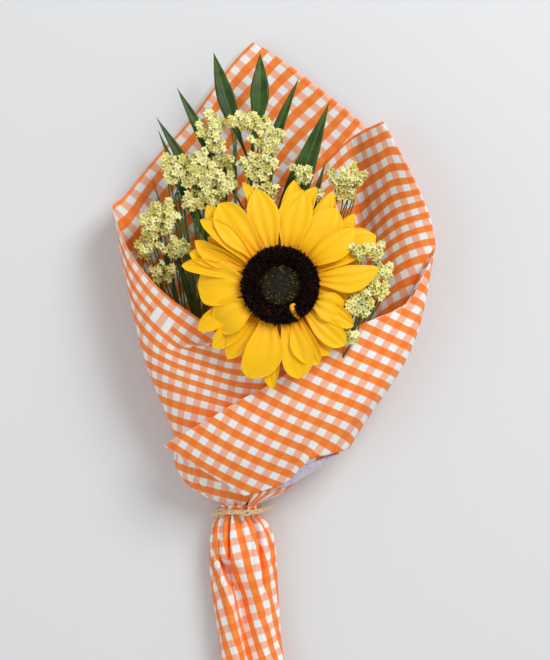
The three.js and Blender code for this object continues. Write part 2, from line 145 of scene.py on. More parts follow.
class Finish:
    """A material made by arithmetic, with one Principled shader at its end."""

    def __init__(self, name, **constants):
        self.material = bpy.data.materials.new(name)
        self.material.use_nodes = True
        self.tree = self.material.node_tree
        self.shader = self.tree.nodes["Principled BSDF"]
        for key, value in constants.items():
            self.input(key).default_value = value

    def input(self, key):
        """The shader's socket for a name such as base_color."""
        return self.shader.inputs[key.replace("_", " ").title().replace("Ior", "IOR")]

    def node(self, kind, settings=None, *values, out=0):
        """Adds a node: first its settings, then the values or links of its sockets."""
        made = self.tree.nodes.new(kind)
        for key, value in (settings or {}).items():
            setattr(made, key, value)
        for socket, value in zip(made.inputs, values):
            if isinstance(value, Wire):
                self.tree.links.new(value.socket, socket)
            elif value is not None:
                socket.default_value = value
        return Wire(self, made.outputs[out])

    def ramp(self, wire, low, high):
        """0 below low, 1 above high, and an S-shaped rise between."""
        settings = {"interpolation_type": "SMOOTHSTEP"}
        return self.node("ShaderNodeMapRange", settings, wire, low, high, 0.0, 1.0)

    def mix(self, share, first, second):
        """One colour turning into another."""
        settings = {"data_type": "RGBA"}
        return self.node("ShaderNodeMix", settings, share, None, None, None, None, None,
                         first, second, out=2)

    def noise(self, place, scale, detail=2.0, roughness=0.5):
        return self.node("ShaderNodeTexNoise", None, place, None, scale, detail, roughness)

    def place(self):
        """Where a point is in the shared frame, in metres."""
        return self.node("ShaderNodeTexCoord", None, out=3)

    def sheet_place(self, name):
        """The two coordinates of a UV map, as wires."""
        both = self.node("ShaderNodeUVMap", {"uv_map": name})
        first = self.node("ShaderNodeSeparateXYZ", None, both)
        return first, Wire(self, first.socket.node.outputs[1])

    def bump(self, height, strength, distance):
        return self.node("ShaderNodeBump", None, strength, distance, None, height)

    def feed(self, **wires):
        """Links what varies to the shader's own sockets."""
        for key, wire in wires.items():
            self.tree.links.new(wire.socket, self.input(key))
        return self.material


def colour(red, green, blue):
    """A colour as seen on screen, 0 to 255, made linear for the renderer."""
    def linear(part):
        part /= 255
        return part / 12.92 if part <= 0.04045 else ((part + 0.055) / 1.055) ** 2.4
    return (*map(linear, (red, green, blue)), 1.0)


print("a mid orange is", [round(part, 3) for part in colour(250, 130, 50)])

# %% [markdown]
# ## The gingham paper
# Gingham print is two sets of stripes. Here the stripes one way are full orange bands. The
# other way they are printed as fine lines of orange, so they look salmon between the bands and a
# little deeper where they cross them. What is left is white. The paper's own map, in repeats of
# the print, carries the pattern round every roll and fold. In one place of the outer sheet the
# press has missed a piece of one band, so two gaps run together into long white bars.

# %% Finish: gingham
REPEAT = 11.4                             # one orange band and one gap, in millimetres
SOFT_EDGE = 0.03                          # blur of a printed edge, in repeats
BAND_SHARE = 0.5                          # how much of a repeat is orange
WEFT_SHARE = 0.5                          # how much of it is lined, the other way
LINES = 10                                # fine printed lines in a repeat
MISSED_ALONG, MISSED_ACROSS = (0.7, 2.3), (0.0, 1.0)       # the missed piece of band, in repeats

gingham = Finish("gingham_print", roughness=0.5, specular_ior_level=0.35)
along, across = gingham.sheet_place("print")


def stripe(wire, share):
    """1 on a stripe that fills a share of every whole number, 0 between stripes."""
    half = abs(wire.finish.node("ShaderNodeMath", {"operation": "FRACT"}, wire) - 0.5)
    return 1 - wire.finish.ramp(half, share / 2 - SOFT_EDGE, share / 2 + SOFT_EDGE)


def inside(wire, low, high):
    """1 where a wire's value lies between two numbers."""
    return (wire > low) * (wire < high)


missed = inside(along, *MISSED_ALONG) * inside(across, *MISSED_ACROSS)
band = stripe(across, BAND_SHARE) * (1 - missed)
weft = stripe(along, WEFT_SHARE)
lines = 0.72 + 0.28 * stripe(along * LINES, 0.6)
fibres = gingham.noise(gingham.place(), 900.0, 3.0, 0.6)
PAPER_WHITE = colour(246, 248, 248)
SALMON = colour(252, 180, 142)
ORANGE = colour(255, 146, 62)
CROSSING = colour(255, 128, 40)
gap = gingham.mix(weft * lines, PAPER_WHITE, SALMON)
strip = gingham.mix(weft, ORANGE, CROSSING)
printed = gingham.mix(band, gap, strip)
GINGHAM = gingham.feed(
    base_color=printed,
    roughness=0.44 + 0.16 * fibres,
    normal=gingham.bump(fibres, 0.08, 0.0002))

paper_edge = Finish("paper_cut_edge", base_color=colour(250, 244, 236), roughness=0.7)
PAPER_EDGE = paper_edge.feed(roughness=0.6 + 0.2 * paper_edge.noise(paper_edge.place(), 1500.0))
print("gingham made of", len(gingham.tree.nodes), "nodes")

# %% [markdown]
# ## Reading tables and drawing smooth lines
# The roll of each sheet is a row of numbers for each distance above the tie: its left and right
# edges and the heights of its back, its widest line and its front. Between rows a smooth curve
# reads them, as a draughtsman's flexible ruler would.

# %% Smooth tables
def read_row(rows, y):
    """Every column of a table at many distances, by smooth steps between its rows."""
    rows, y = np.asarray(rows, float), np.asarray(y, float)
    i = np.clip(np.searchsorted(rows[:, 0], y, side="right") - 1, 0, len(rows) - 2)
    p1, p2 = rows[i], rows[i + 1]
    p0, p3 = rows[np.maximum(i - 1, 0)], rows[np.minimum(i + 2, len(rows) - 1)]
    span = (p2[:, :1] - p1[:, :1])
    t = (y[:, None] - p1[:, :1]) / span
    m1 = (p2 - p0) / (p2[:, :1] - p0[:, :1]) * span
    m2 = (p3 - p1) / (p3[:, :1] - p1[:, :1]) * span
    return ((2 * t**3 - 3 * t**2 + 1) * p1 + (t**3 - 2 * t**2 + t) * m1
            + (3 * t**2 - 2 * t**3) * p2 + (t**3 - t**2) * m2)


def smooth_step(value, low, high):
    """0 below low, 1 above high, and an S-shaped rise between."""
    t = np.clip((np.asarray(value, float) - low) / (high - low), 0, 1)
    return t * t * (3 - 2 * t)


print("half way up a step is", float(smooth_step(0.5, 0, 1)))

# %% Smooth lines
def smooth_line(points, steps=16):
    """A line through points, with even bends (a centripetal Catmull-Rom spline)."""
    p = np.asarray(points, float)
    p = np.vstack([2 * p[0] - p[1], p, 2 * p[-1] - p[-2]])
    made = []
    for p0, p1, p2, p3 in zip(p, p[1:], p[2:], p[3:]):
        k = np.cumsum([0] + [max(np.linalg.norm(b - a), 1e-6) ** 0.5
                             for a, b in ((p0, p1), (p1, p2), (p2, p3))])
        t = np.linspace(k[1], k[2], steps, endpoint=False)[:, None]
        a1 = ((k[1] - t) * p0 + t * p1) / k[1]
        a2 = ((k[2] - t) * p1 + (t - k[1]) * p2) / (k[2] - k[1])
        a3 = ((k[3] - t) * p2 + (t - k[2]) * p3) / (k[3] - k[2])
        b1 = ((k[2] - t) * a1 + t * a2) / k[2]
        b2 = ((k[3] - t) * a2 + (t - k[1]) * a3) / (k[3] - k[1])
        made.append(((k[2] - t) * b1 + (t - k[1]) * b2) / (k[2] - k[1]))
    return np.vstack([*made, p[-2:-1]])


def evenly(line, share):
    """Points at shares, 0 to 1, of a line's length."""
    line = np.asarray(line, float)
    lengths = np.concatenate([[0], np.cumsum(np.linalg.norm(np.diff(line, axis=0), axis=1))])
    return np.stack([np.interp(np.asarray(share) * lengths[-1], lengths, column) for column in line.T], -1)


def line_distance(x, y, line):
    """Distance of many places from a line of points, and how far along it each is, 0 to 1."""
    ends = np.asarray(line, float)
    best, where = np.full(len(x), 1e9), np.zeros(len(x))
    for k, (a, b) in enumerate(zip(ends, ends[1:])):
        t = np.clip(((x - a[0]) * (b[0] - a[0]) + (y - a[1]) * (b[1] - a[1])) / np.sum((b - a) ** 2), 0, 1)
        gap_here = np.hypot(x - a[0] - t * (b[0] - a[0]), y - a[1] - t * (b[1] - a[1]))
        where = np.where(gap_here < best, (k + t) / (len(ends) - 1), where)
        best = np.minimum(best, gap_here)
    return best, where


print("a straight test line has", len(smooth_line([(0, 0), (1, 0), (2, 0)])), "points")

# %% [markdown]
# A rolled sheet is a tube that changes its section as it rises. A loft through drawn sections
# would make it too, but a formula is easier to steer: every section is a superellipse, which is an
# ellipse with a little of the box in it. An angle and a distance above the tie name each point.

# %% The form of a roll
SECTION_POWER = 2.2                       # 2 is an ellipse, more is boxier
MIDDLE_LINE = (2.0, 17.0)                 # x and z of the middle line of the stems


def roll_point(rows, angle, y):
    """Points of a rolled sheet. Angle 0 is the right side, 90 the front, 180 left, 270 back."""
    _, left, right, back, waist, front = read_row(rows, y).T
    turn = np.radians(angle)
    sideways = np.sign(np.cos(turn)) * np.abs(np.cos(turn)) ** (2 / SECTION_POWER)
    up = np.sign(np.sin(turn)) * np.abs(np.sin(turn)) ** (2 / SECTION_POWER)
    depth = np.where(up > 0, front - waist, waist - back)
    return np.stack([(left + right) / 2 + (right - left) / 2 * sideways, y, waist + depth * up], 1)


def roll_angle(rows, x, y, side):
    """The angle at which a rolled sheet passes over a place seen from the front."""
    _, left, right = read_row(rows, [y])[0][:3]
    sideways = np.clip((2 * x - left - right) / (right - left), -1, 1)
    turn = math.degrees(math.acos(np.sign(sideways) * abs(sideways) ** (SECTION_POWER / 2)))
    return turn if side > 0 else 360 - turn


def outwards_from(places):
    """Directions from the middle line of the stems to places on a sheet."""
    away = places.copy()
    away[:, 0] -= MIDDLE_LINE[0]
    away[:, 1] = 0
    away[:, 2] -= MIDDLE_LINE[1]
    return away / (np.linalg.norm(away, axis=1, keepdims=True) + 1e-9)


test_roll = [(0, -10, 10, 0, 10, 20), (100, -20, 20, 0, 20, 40)]
print("the right side of a test roll is at", roll_point(test_roll, np.zeros(1), np.full(1, 50.0)).round(1))

# %% [markdown]
# ## The two sheets
# Each sheet is one flat piece of paper. A florist rolls it round the stems as a cone, and only
# then draws the tie tight. The script does the same. A grid takes the rolled form first, and
# Blender's unwrap lays that form flat again, as a pattern cutter would, which gives the print's
# map. The same grid then takes the tied form, where the foot of the cone is drawn in and falls
# into pleats. So the print bends with the paper and closes up where the paper is gathered.

# %% Tables of the sheets
# Each row: distance above the tie, left edge, right edge, then heights of back, waist and front.
OUTER_SHEET = [
    (0, -13, 15, 4, 17, 29), (3, -13, 16, 4, 17, 29), (9, -25, 33, 2.5, 19, 36),
    (18, -38, 47, 1.5, 23, 45), (33, -47.5, 68, 0.9, 28, 55), (54, -48, 92, 0.9, 33, 63),
    (80, -57.5, 109, 0.9, 38, 72), (110, -69, 124, 0.9, 42, 79), (150, -79, 142, 0.9, 44, 82),
    (190, -87, 151, 0.9, 43, 81), (223, -93.5, 156, 1.2, 42, 78), (290, -118, 160, 4.6, 44, 78),
    (352, -140, 166, 12, 50, 80)]
FRONT_SHEET = [
    (0, -14, 14, 7.5, 17, 33), (3, -14, 14, 7.5, 17, 33), (12, -42, 32, 5.6, 22, 44),
    (21, -60, 43.5, 4.6, 26, 51), (46, -76, 79, 3.6, 34, 68), (80, -86, 102, 3.4, 39, 80),
    (111, -92, 118, 3.4, 44, 87), (138, -97, 133, 3.4, 47, 88), (171, -100, 139.5, 3.4, 50, 87),
    (190, -102, 143.5, 3.4, 51, 86), (230, -104, 150, 3.8, 48, 82), (289, -106, 152, 7.5, 48, 80)]
# Corners and bends of the cut edges: x, distance above the tie, and 1 on the front or -1 behind.
OUTER_EDGE = [
    [(100, 283, -1), (61, 316, -1), (10, 351, -1)],
    [(10, 351, -1), (-42, 287.5, -1), (-79, 243.5, -1), (-88.5, 231.5, -1), (-93.5, 223, 1), (-81, 193, 1),
     (-53, 160, 1), (-28, 142, 1), (2, 122, 1), (44, 96, 1)]]
RIM = [(143, 206, -1), (138, 181, 1), (123, 154, 1), (87, 137, 1), (60, 121, 1), (33, 101, 1),
       (1, 83, 1), (-21, 69, 1)]
FRONT_EDGE = [
    [(18, 228, -1), (63, 259, -1), (86, 280, -1), (107, 289, -1)],
    [(107, 289, -1), (118, 268, -1), (136, 230, -1), (143, 206, -1)],
    RIM]
UNDER_NECK_ANGLE = 424                    # where the layer under the flap ends at the neck
NECK_TOP = 0.4                            # the sheets start this far above the tie
GATHER_TOP = 56                           # the drawn-in foot of the cone starts below this
PLEATS, PLEAT_DEPTH = 17, 3.0             # folds round the foot, and how deep they are at the tie


def rolled_rows(rows):
    """The sheet's rows before the tie is drawn: the cone runs straight on below the gather."""
    above = [row for row in rows if row[0] > GATHER_TOP]
    first, second = np.array(above[0], float), np.array(above[1], float)
    foot = first - (second - first) * first[0] / (second[0] - first[0])
    return [tuple(foot), *above]


def in_angles(rows, stretch, last_turn):
    """A stretch of cut edge as angles and distances above the tie."""
    angles = [(roll_angle(rows, x, y, side), y) for x, y, side in stretch]
    return smooth_line([(a + 360 if a < last_turn else a, y) for a, y in angles])


def cut_edge(rows, corners, last_turn):
    """The cut edge from 0 to 1: its angle and distance above the tie, and its corners' shares."""
    lines = [in_angles(rows, stretch, last_turn) for stretch in corners]
    lengths = [np.linalg.norm(np.diff(line, axis=0), axis=1) for line in lines]
    shares = np.cumsum(np.concatenate([[0]] + lengths))
    ends = np.cumsum([len(length) for length in lengths])
    route = np.vstack([lines[0], *[line[1:] for line in lines[1:]]])
    return shares / shares[-1], route, shares[ends] / shares[-1]


print("before the tie the outer sheet's foot is", [round(v) for v in rolled_rows(OUTER_SHEET)[0]])

# %% [markdown]
# Blender can lay a curved sheet flat by itself: the unwrap operator that is meant for painting
# finds the flat shape with the least stretch. Its result has any turn and any size, so the
# pattern is scaled to the paper's real area, and turned until the bands run in the wanted
# direction at one spot that is seen from the front.

# %% Lay flat

def blank_sheet(columns, lines):
    """A flat grid with a print map, and each vertex's place on it from 0 to 1."""
    sheet = bmesh.new()
    sheet.loops.layers.uv.new("print")
    bmesh.ops.create_grid(sheet, x_segments=columns, y_segments=lines, size=1)
    sheet.verts.ensure_lookup_table()
    return sheet, np.array([v.co[:2] for v in sheet.verts]) / 2 + 0.5


def flat_pattern(sheet, places):
    """Unwraps the rolled sheet and returns each point's place on the flat paper, in millimetres."""
    mesh = bpy.data.meshes.new("rolled")
    sheet.to_mesh(mesh)
    mesh.vertices.foreach_set("co", places.astype(np.float32).ravel())
    rolled = bpy.data.objects.new("rolled", mesh)
    bpy.context.scene.collection.objects.link(rolled)
    bpy.context.view_layer.objects.active = rolled
    rolled.select_set(True)
    bpy.ops.object.mode_set(mode="EDIT")
    bpy.ops.mesh.select_all(action="SELECT")
    bpy.ops.uv.unwrap(method="ANGLE_BASED", margin=0)
    bpy.ops.object.mode_set(mode="OBJECT")
    loops = np.array([loop.vertex_index for loop in mesh.loops])
    flat = np.zeros(len(loops) * 2)
    mesh.uv_layers[0].data.foreach_get("uv", flat)
    pattern = np.zeros((len(places), 2))
    pattern[loops] = flat.reshape(-1, 2)
    corners = np.array([polygon.vertices[:] for polygon in mesh.polygons])
    a, b, c, d = (places[corners[:, k]] for k in range(4))
    real = np.linalg.norm(np.cross(c - a, d - b), axis=1).sum()
    a, b, c, d = (pattern[corners[:, k]] for k in range(4))
    drawn = np.abs((c - a)[:, 0] * (d - b)[:, 1] - (c - a)[:, 1] * (d - b)[:, 0]).sum()
    bpy.data.objects.remove(rolled)
    bpy.data.meshes.remove(mesh)
    return pattern * math.sqrt(real / drawn)


test_grid, test_spots = blank_sheet(2, 2)
print("a test grid has", len(test_spots), "points")
test_grid.free()

# %% Aim the print and give the paper its place
LOWEST = 0.6                              # the paper lies on the table, not in it
PAPER_THICKNESS = 0.35
EDGE_PHASE = 0.57                         # where in a repeat an edge cuts the print it follows


def aimed(pattern, places, seen, spot, degrees):
    """Turns a flat pattern so that at one spot the bands run at an angle, seen from the front."""
    seen = np.flatnonzero(seen)
    near = seen[np.argsort(np.linalg.norm(places[seen, :2] - np.array(spot), axis=1))[:12]]
    flat = pattern[near] - pattern[near].mean(0)
    shown = places[near, :2] - places[near, :2].mean(0)
    to_view = np.linalg.lstsq(flat, shown, rcond=None)[0]
    turn = math.radians(degrees)
    run = np.array([math.cos(turn), math.sin(turn)]) @ np.linalg.inv(to_view)
    run /= np.linalg.norm(run)
    square = np.array([-run[1], run[0]])
    if square @ to_view @ np.array([-math.sin(turn), math.cos(turn)]) < 0:
        square = -square
    middle = pattern[near].mean(0)
    return np.stack([(pattern - middle) @ run, (pattern - middle) @ square], 1)


def print_and_place(sheet, name, pattern, places, rim=1):
    """Gives the grid its print map and its form.

    Its rim shows the plain cut edge, or the print where rim is 0 and the rim is a fold.
    """
    print_map = sheet.loops.layers.uv["print"]
    for vertex, place in zip(sheet.verts, places):
        vertex.co = (place[0], place[1], max(place[2], LOWEST))
    for face in sheet.faces:
        for loop in face.loops:
            loop[print_map].uv = pattern[loop.vert.index] / REPEAT
    bmesh.ops.recalc_face_normals(sheet, faces=sheet.faces)
    size = pattern.max(0) - pattern.min(0)
    print(name, "was cut from about", [round(side) for side in size], "mm of paper")
    piece = finished(sheet, name, GINGHAM, PAPER_EDGE)
    thickened(piece, PAPER_THICKNESS, material_offset_rim=rim)
    return piece


def pleated(places, angle, y):
    """Sharp folds that run out from the tie and fade at a distance from it."""
    gather = np.clip(1 - y / GATHER_TOP, 0, 1) ** 1.5
    turn = np.radians(angle)
    phase = PLEATS * turn / math.tau + 0.4 * np.sin(2 * turn + 1.0) + 0.004 * y
    valley = np.exp(-((phase % 1 - 0.5) / 0.16) ** 2)
    size = PLEAT_DEPTH * (0.7 + 0.5 * np.sin(3.1 * np.floor(phase) + 1.0))
    return places + outwards_from(places) * (gather * size * (0.45 - 1.1 * valley))[:, None]


def make_sheet(name, rows, corners, last_turn, neck_angle, columns, lines, creases, lay_print, rim=1):
    """One sheet of the wrap, from its table, its cut edge, its creases and its print."""
    shares, route, corner_shares = cut_edge(rows, corners, last_turn)
    sheet, grid = blank_sheet(columns, lines)
    stops = np.concatenate([[0], np.round(corner_shares * columns) / columns])
    share = np.interp(grid[:, 0], stops, np.concatenate([[0], corner_shares]))
    end_angle = np.interp(share, shares, route[:, 0])
    end_y = np.interp(share, shares, route[:, 1])
    t = grid[:, 1] ** 1.25
    angle = neck_angle(end_angle) * (1 - t) + end_angle * t
    y = NECK_TOP * (1 - t) + end_y * t
    rolled = creases(roll_point(rolled_rows(rows), angle, y), angle, y)
    pattern = lay_print(flat_pattern(sheet, rolled), rolled, angle, share, t, corner_shares)
    places = creases(roll_point(rows, angle, y), angle, y)
    return print_and_place(sheet, name, pattern, pleated(places, angle, y), rim)


def edge_line_up(pattern, share, t, first, last, fade):
    """Makes a stretch of cut edge run exactly along the bands and sets where the edge cuts one."""
    edge = t > 0.999
    order = np.argsort(share[edge])
    edge_v = np.interp(share, share[edge][order], pattern[edge, 1][order])
    on_stretch = (share >= first) & (share <= last)
    level = edge_v[on_stretch & edge].mean()
    inward = np.sign(pattern[on_stretch & ~edge, 1].mean() - level)
    pattern = pattern.copy()
    held = np.interp(np.clip(share, first, last), share[edge][order], pattern[edge, 1][order])
    outside = np.abs(share - np.clip(share, first, last))
    weight = smooth_step(t, fade, 1.0) * np.exp(-(outside / 0.08) ** 2)
    pattern[:, 1] -= (held - level) * weight
    pattern[:, 1] = (pattern[:, 1] - level) * inward + EDGE_PHASE * REPEAT
    return pattern


print("the sheets are", PAPER_THICKNESS, "mm thick")

# %% [markdown]
# The outer sheet is the back of the bouquet. Its upper-left edge goes on round the left side and
# comes over the front as a rim. Below that rim a crease runs in under the bloom, and the paper
# has slipped round along it, so the printed bands change direction there. The back keeps its
# unwrapped map. On the front each level is let out flat instead, which is steadier there, and
# what lies above the crease is turned about the crease's left end.

# %% Outer sheet
LIP_CREASE = [(-50, 121), (-36, 123), (-18, 129), (6, 136)]
UPPER_BANDS, LOWER_BANDS = -38.0, -13.0   # directions of the bands above and below the crease
BACK_BANDS = 230.9
MISSED_SPOT = (-63, 146)                  # where the press has missed a piece of band


def outer_creases(places, angle, y):
    """The inward crease below the front-left rim, and the slow buckles of a large sheet."""
    front = angle < 180
    far, where = line_distance(places[:, 0], places[:, 1], LIP_CREASE)
    dip = 5.0 * np.exp(-np.abs(far) / 6) * np.minimum(1, where * 6 + 0.25) * front
    wave = np.sin(places[:, 0] / 19 + places[:, 1] / 33) * np.sin(places[:, 1] / 41 - 0.6)
    rise = 1.6 * wave * smooth_step(y, 60, 160) * smooth_step(angle, 190, 215)
    return places + np.stack([np.zeros_like(y), np.zeros_like(y), rise - dip], 1)


def turned(arm, turn):
    """Arms on the flat paper, turned by an angle of their own."""
    return np.stack([np.cos(turn) * arm[:, 0] - np.sin(turn) * arm[:, 1],
                     np.sin(turn) * arm[:, 0] + np.cos(turn) * arm[:, 1]], 1)


def let_out(rows, angle, y, steps=24):
    """The rolled sheet with every level let out flat, measured from the middle of its front."""
    way = [roll_point(rows, 90 + (angle - 90) * k / steps, y) for k in range(steps + 1)]
    length = sum(np.linalg.norm(b - a, axis=1) for a, b in zip(way, way[1:]))
    return np.stack([way[0][:, 0] + np.sign(90 - angle) * length, y], 1)


def outer_print(pattern, places, angle, share, t, corner_shares):
    """Bands along the upper-left edge, which goes on as the rim that rolls over the left side.

    Below the lip crease the paper has slipped round: the bands there run less steeply.
    """
    back = aimed(pattern, places, angle > 200, (-30, 265), BACK_BANDS)
    front_side = angle < 170
    front = aimed(let_out(OUTER_SHEET, angle, places[:, 1]), places, front_side, (-15, 95), LOWER_BANDS)
    crease_ends = [np.argmax(front_side * 1e3 - np.linalg.norm(places[:, :2] - np.array(spot), axis=1))
                   for spot in (LIP_CREASE[0], LIP_CREASE[-1])]
    pivot, crease_end = front[crease_ends]
    arm, crease = front - pivot, crease_end - pivot
    round_pivot = (np.degrees(np.arctan2(arm[:, 1], arm[:, 0]) - np.arctan2(crease[1], crease[0]))) % 360
    slip = np.radians(UPPER_BANDS - LOWER_BANDS) * (1 - smooth_step(round_pivot, 90, 200))
    front = turned(arm, -slip) * (1, -1)
    side = (angle > 176) & (angle < 190)
    front += (back[side] - front[side]).mean(0)
    rolled_over = smooth_step(angle, 182, 235)[:, None]
    pattern = front * (1 - rolled_over) + back * rolled_over
    pattern = edge_line_up(pattern, share, t, corner_shares[0], share[crease_ends[1]] - 0.03, 0.5)
    nearness = (angle < 180) * 1e3 - np.linalg.norm(places[:, :2] - np.array(MISSED_SPOT), axis=1)
    return pattern - np.floor(pattern[np.argmax(nearness)] / REPEAT) * REPEAT


outer_wrap = make_sheet("outer_wrap", OUTER_SHEET, OUTER_EDGE, 60, lambda angle: angle, 170, 120,
                        outer_creases, outer_print)
stands_for(outer_wrap, "gingham_paper", "wrap_back_right", "wrap_back_left",
           "wrap_left_side", "wrap_left_front")

# %% [markdown]
# The front sheet stands up from a crease at its left, bulges, and turns over at its right side.
# Its far half is folded back down along the slanting rim, so the flap that shows in front is a
# second layer on the first. It ends below in a cut edge at the left and in a turned-under fold
# at the right. Each layer has its own direction of print, as the halves of a folded sheet do.

# %% Front sheet
WALL_CREASE = [(289, 84), (250, 91), (211, 93), (150, 88), (100, 84)]      # y and x of its foot
FLAP_CORNER = (-54, 49)                   # where the rim meets the flap's cut edge, at the left side
FOLD_TIP = (4, 11.5)                      # where that cut edge meets the fold under the flap
TURN_UNDER = [FOLD_TIP, (20, 16.5), (34, 22.5), (43, 32), (51, 40), (64, 42.5), (79, 47)]
UNDER_LAYER = 5.0                         # the layer under the flap hangs back by this much
RIM_WIDTH = 3.5                           # half width of the strip where two layers are one fold
CLEAR_OF_MISS = 100 * REPEAT              # moves a sheet's print well away from the missed band


def rim_share(angle, y):
    """1 at the slanting rim, where the two layers are one fold, and 0 away from it."""
    route = in_angles(FRONT_SHEET, RIM, 180)
    far, _ = line_distance(angle, y, route[::8])
    return np.exp(-(far / RIM_WIDTH) ** 2)


def under_flap(places):
    """1 under the flap, 0 below the line of its cut edge and its fold, as seen from the front."""
    foot = np.array([FLAP_CORNER, *TURN_UNDER])
    return smooth_step(places[:, 1] - np.interp(places[:, 0], foot[:, 0], foot[:, 1]), -4, 2)


def wall_share(x, y):
    """0 at the foot of the wall and 1 at the right side of the sheet; also the wall's width."""
    heights, feet = np.array(WALL_CREASE[::-1]).T
    crease_x = np.interp(y, heights, feet)
    width = read_row(FRONT_SHEET, y)[:, 2] - crease_x
    return np.clip((x - crease_x) / width, 0, 1), width


def front_creases(places, angle, y):
    """The wall rises steeply from its crease and flattens towards the right side."""
    rows = read_row(FRONT_SHEET, y)
    side_x, waist = rows[:, 2], rows[:, 4]
    u, width = wall_share(places[:, 0], y)
    crease_x = side_x - width
    on_wall = (angle > 270) & (angle < 360) & (u > 0)
    foot_share = np.clip((2 * crease_x - rows[:, 1] - side_x) / (side_x - rows[:, 1]), -1, 1)
    foot_depth = (1 - np.abs(foot_share) ** SECTION_POWER) ** (1 / SECTION_POWER)
    foot_z = waist - (waist - rows[:, 3]) * foot_depth
    wall_z = foot_z + (waist - foot_z) * (1 - (1 - u) ** 2.3)
    amount = smooth_step(y, 70, 150) * on_wall
    places = places.copy()
    places[:, 2] += (wall_z - places[:, 2]) * amount
    hidden = smooth_step(angle, 346, 366) * smooth_step(y, 10, 20) * under_flap(places)
    back = hidden * (0.5 + UNDER_LAYER * (1 - rim_share(angle, y)))
    return places - outwards_from(places) * back[:, None]


def front_print(pattern, places, angle, share, t, corner_shares):
    """Bands along the top edge of the wall; below it they arch over from its foot to its side."""
    pattern = aimed(pattern, places, angle < 340, (88, 272), 26.0)
    u, width = wall_share(places[:, 0], places[:, 1])
    arch = width * (0.75 * u - 0.55 * u * u) * smooth_step(-places[:, 1], -266, -175) * (angle > 270)
    pattern[:, 1] -= arch
    pattern = edge_line_up(pattern, share, t, 0.0, corner_shares[0], 0.7)
    return pattern + CLEAR_OF_MISS


front_wrap = make_sheet(
    "front_wrap", FRONT_SHEET, FRONT_EDGE, 180,
    lambda angle: np.minimum(angle, UNDER_NECK_ANGLE + (angle - UNDER_NECK_ANGLE) * 0.02),
    150, 100, front_creases, front_print, rim=0)
stands_for(front_wrap, "gingham_paper", "wrap_right_back", "wrap_right_wall", "wrap_right_side")

# %% [markdown]
# The folded-over half is a patch between four lines: the rim above, the right side, the
# turned-under fold below and the cut edge at the left. A Coons patch fills such a frame: it adds
# the two ways of joining opposite lines and takes away the part that was counted twice. A slight
# belly and a wave keep it from looking like card.

# %% Front flap
FOLD_LIFT = 2.4                           # how far the fold stands off the layer under it
FLAP_BEND = 0.0011                        # slow bend of the printed bands, in 1/mm
FLAP_PHASE = 0.14                         # where in a repeat the flap's cut edge runs
SIDE_ANGLE = 354.0                        # the flap leaves the wall just behind the right side


def on_front(points):
    """Places on the front of the rolled sheet, under a line drawn over it."""
    angle, y = in_angles(FRONT_SHEET, points, 180).T
    return roll_point(FRONT_SHEET, angle, y)


def laid_in_rows(places, columns, lines):
    """Lays a patch down by letting each row out; past its side a row keeps to its own way across."""
    rows = places.reshape(lines + 1, columns + 1, 3)
    step = np.diff(rows, axis=1)
    way = step[..., :2] / np.linalg.norm(step[..., :2], axis=2, keepdims=True)
    across = rows[:, -1:, :2] - rows[:, :1, :2]
    across = across / np.linalg.norm(across, axis=2, keepdims=True)
    way = np.where((way * across).sum(axis=2, keepdims=True) > 0.6, way, across)
    flat = np.repeat(rows[:, :1, :2], columns + 1, axis=1)
    flat[:, 1:] += np.cumsum(way * np.linalg.norm(step, axis=2, keepdims=True), axis=1)
    return flat.reshape(-1, 2)


def make_flap(columns=130, lines=90):
    """A patch stretched between the rim, the right side, the turned-under fold and the cut edge."""
    sheet, grid = blank_sheet(columns, lines)
    s, t = grid.T
    rim = on_front([*RIM, (*FLAP_CORNER, 1)][::-1])
    fold = on_front([(*point, 1) for point in TURN_UNDER])
    fold = fold + outwards_from(fold) * FOLD_LIFT
    fold[:, 2] += np.linspace(0, FOLD_LIFT, len(fold))
    middle = (rim[-1] + fold[-1]) / 2
    bulge = roll_point(FRONT_SHEET, np.array([SIDE_ANGLE]), middle[1:2])[0] + (1, 0, 0)
    right_side = smooth_line([fold[-1], bulge, rim[-1]])
    cut_side = smooth_line([fold[0], (fold[0] + rim[0]) / 2 + (0, 0, 3), rim[0]])
    across_way = evenly(fold, s) * (1 - t)[:, None] + evenly(rim, s) * t[:, None]
    up_way = evenly(cut_side, t) * (1 - s)[:, None] + evenly(right_side, t) * s[:, None]
    corners = (fold[0] * ((1 - s) * (1 - t))[:, None] + fold[-1] * (s * (1 - t))[:, None]
               + rim[0] * ((1 - s) * t)[:, None] + rim[-1] * (s * t)[:, None])
    places = across_way + up_way - corners
    belly = 3.0 * np.sin(math.pi * t) * np.sin(math.pi * s)
    wave = 1.3 * np.sin(math.pi * t) * np.sin(2.6 * math.pi * s + 0.5) * np.sin(math.pi * s)
    places = places + outwards_from(places) * (0.5 + belly + wave)[:, None]
    pattern = laid_in_rows(places, columns, lines)
    run = np.subtract(FOLD_TIP, FLAP_CORNER, dtype=float)
    run /= np.linalg.norm(run)
    square = np.array([-run[1], run[0]])
    pattern = np.stack([(pattern - FLAP_CORNER) @ run, (pattern - FLAP_CORNER) @ square], 1)
    pattern[:, 1] -= FLAP_BEND * np.maximum(0, pattern[:, 0] - 20) ** 2
    return print_and_place(sheet, "front_flap", pattern + (2 * CLEAR_OF_MISS, FLAP_PHASE * REPEAT), places)


stands_for(make_flap(), "gingham_paper", "wrap_front_flap")

# %% [markdown]
# Below the tie both sheets run on as a tail. The tie gathers them into sharp folds that fan out
# and open, and one deep fold runs down the front from the left shoulder. Here too the print is
# laid on the tube as it is before the tie is drawn, so it closes up in the gathers. Cloth
# simulation would find folds of its own, but not these ones, so they are drawn as a formula.

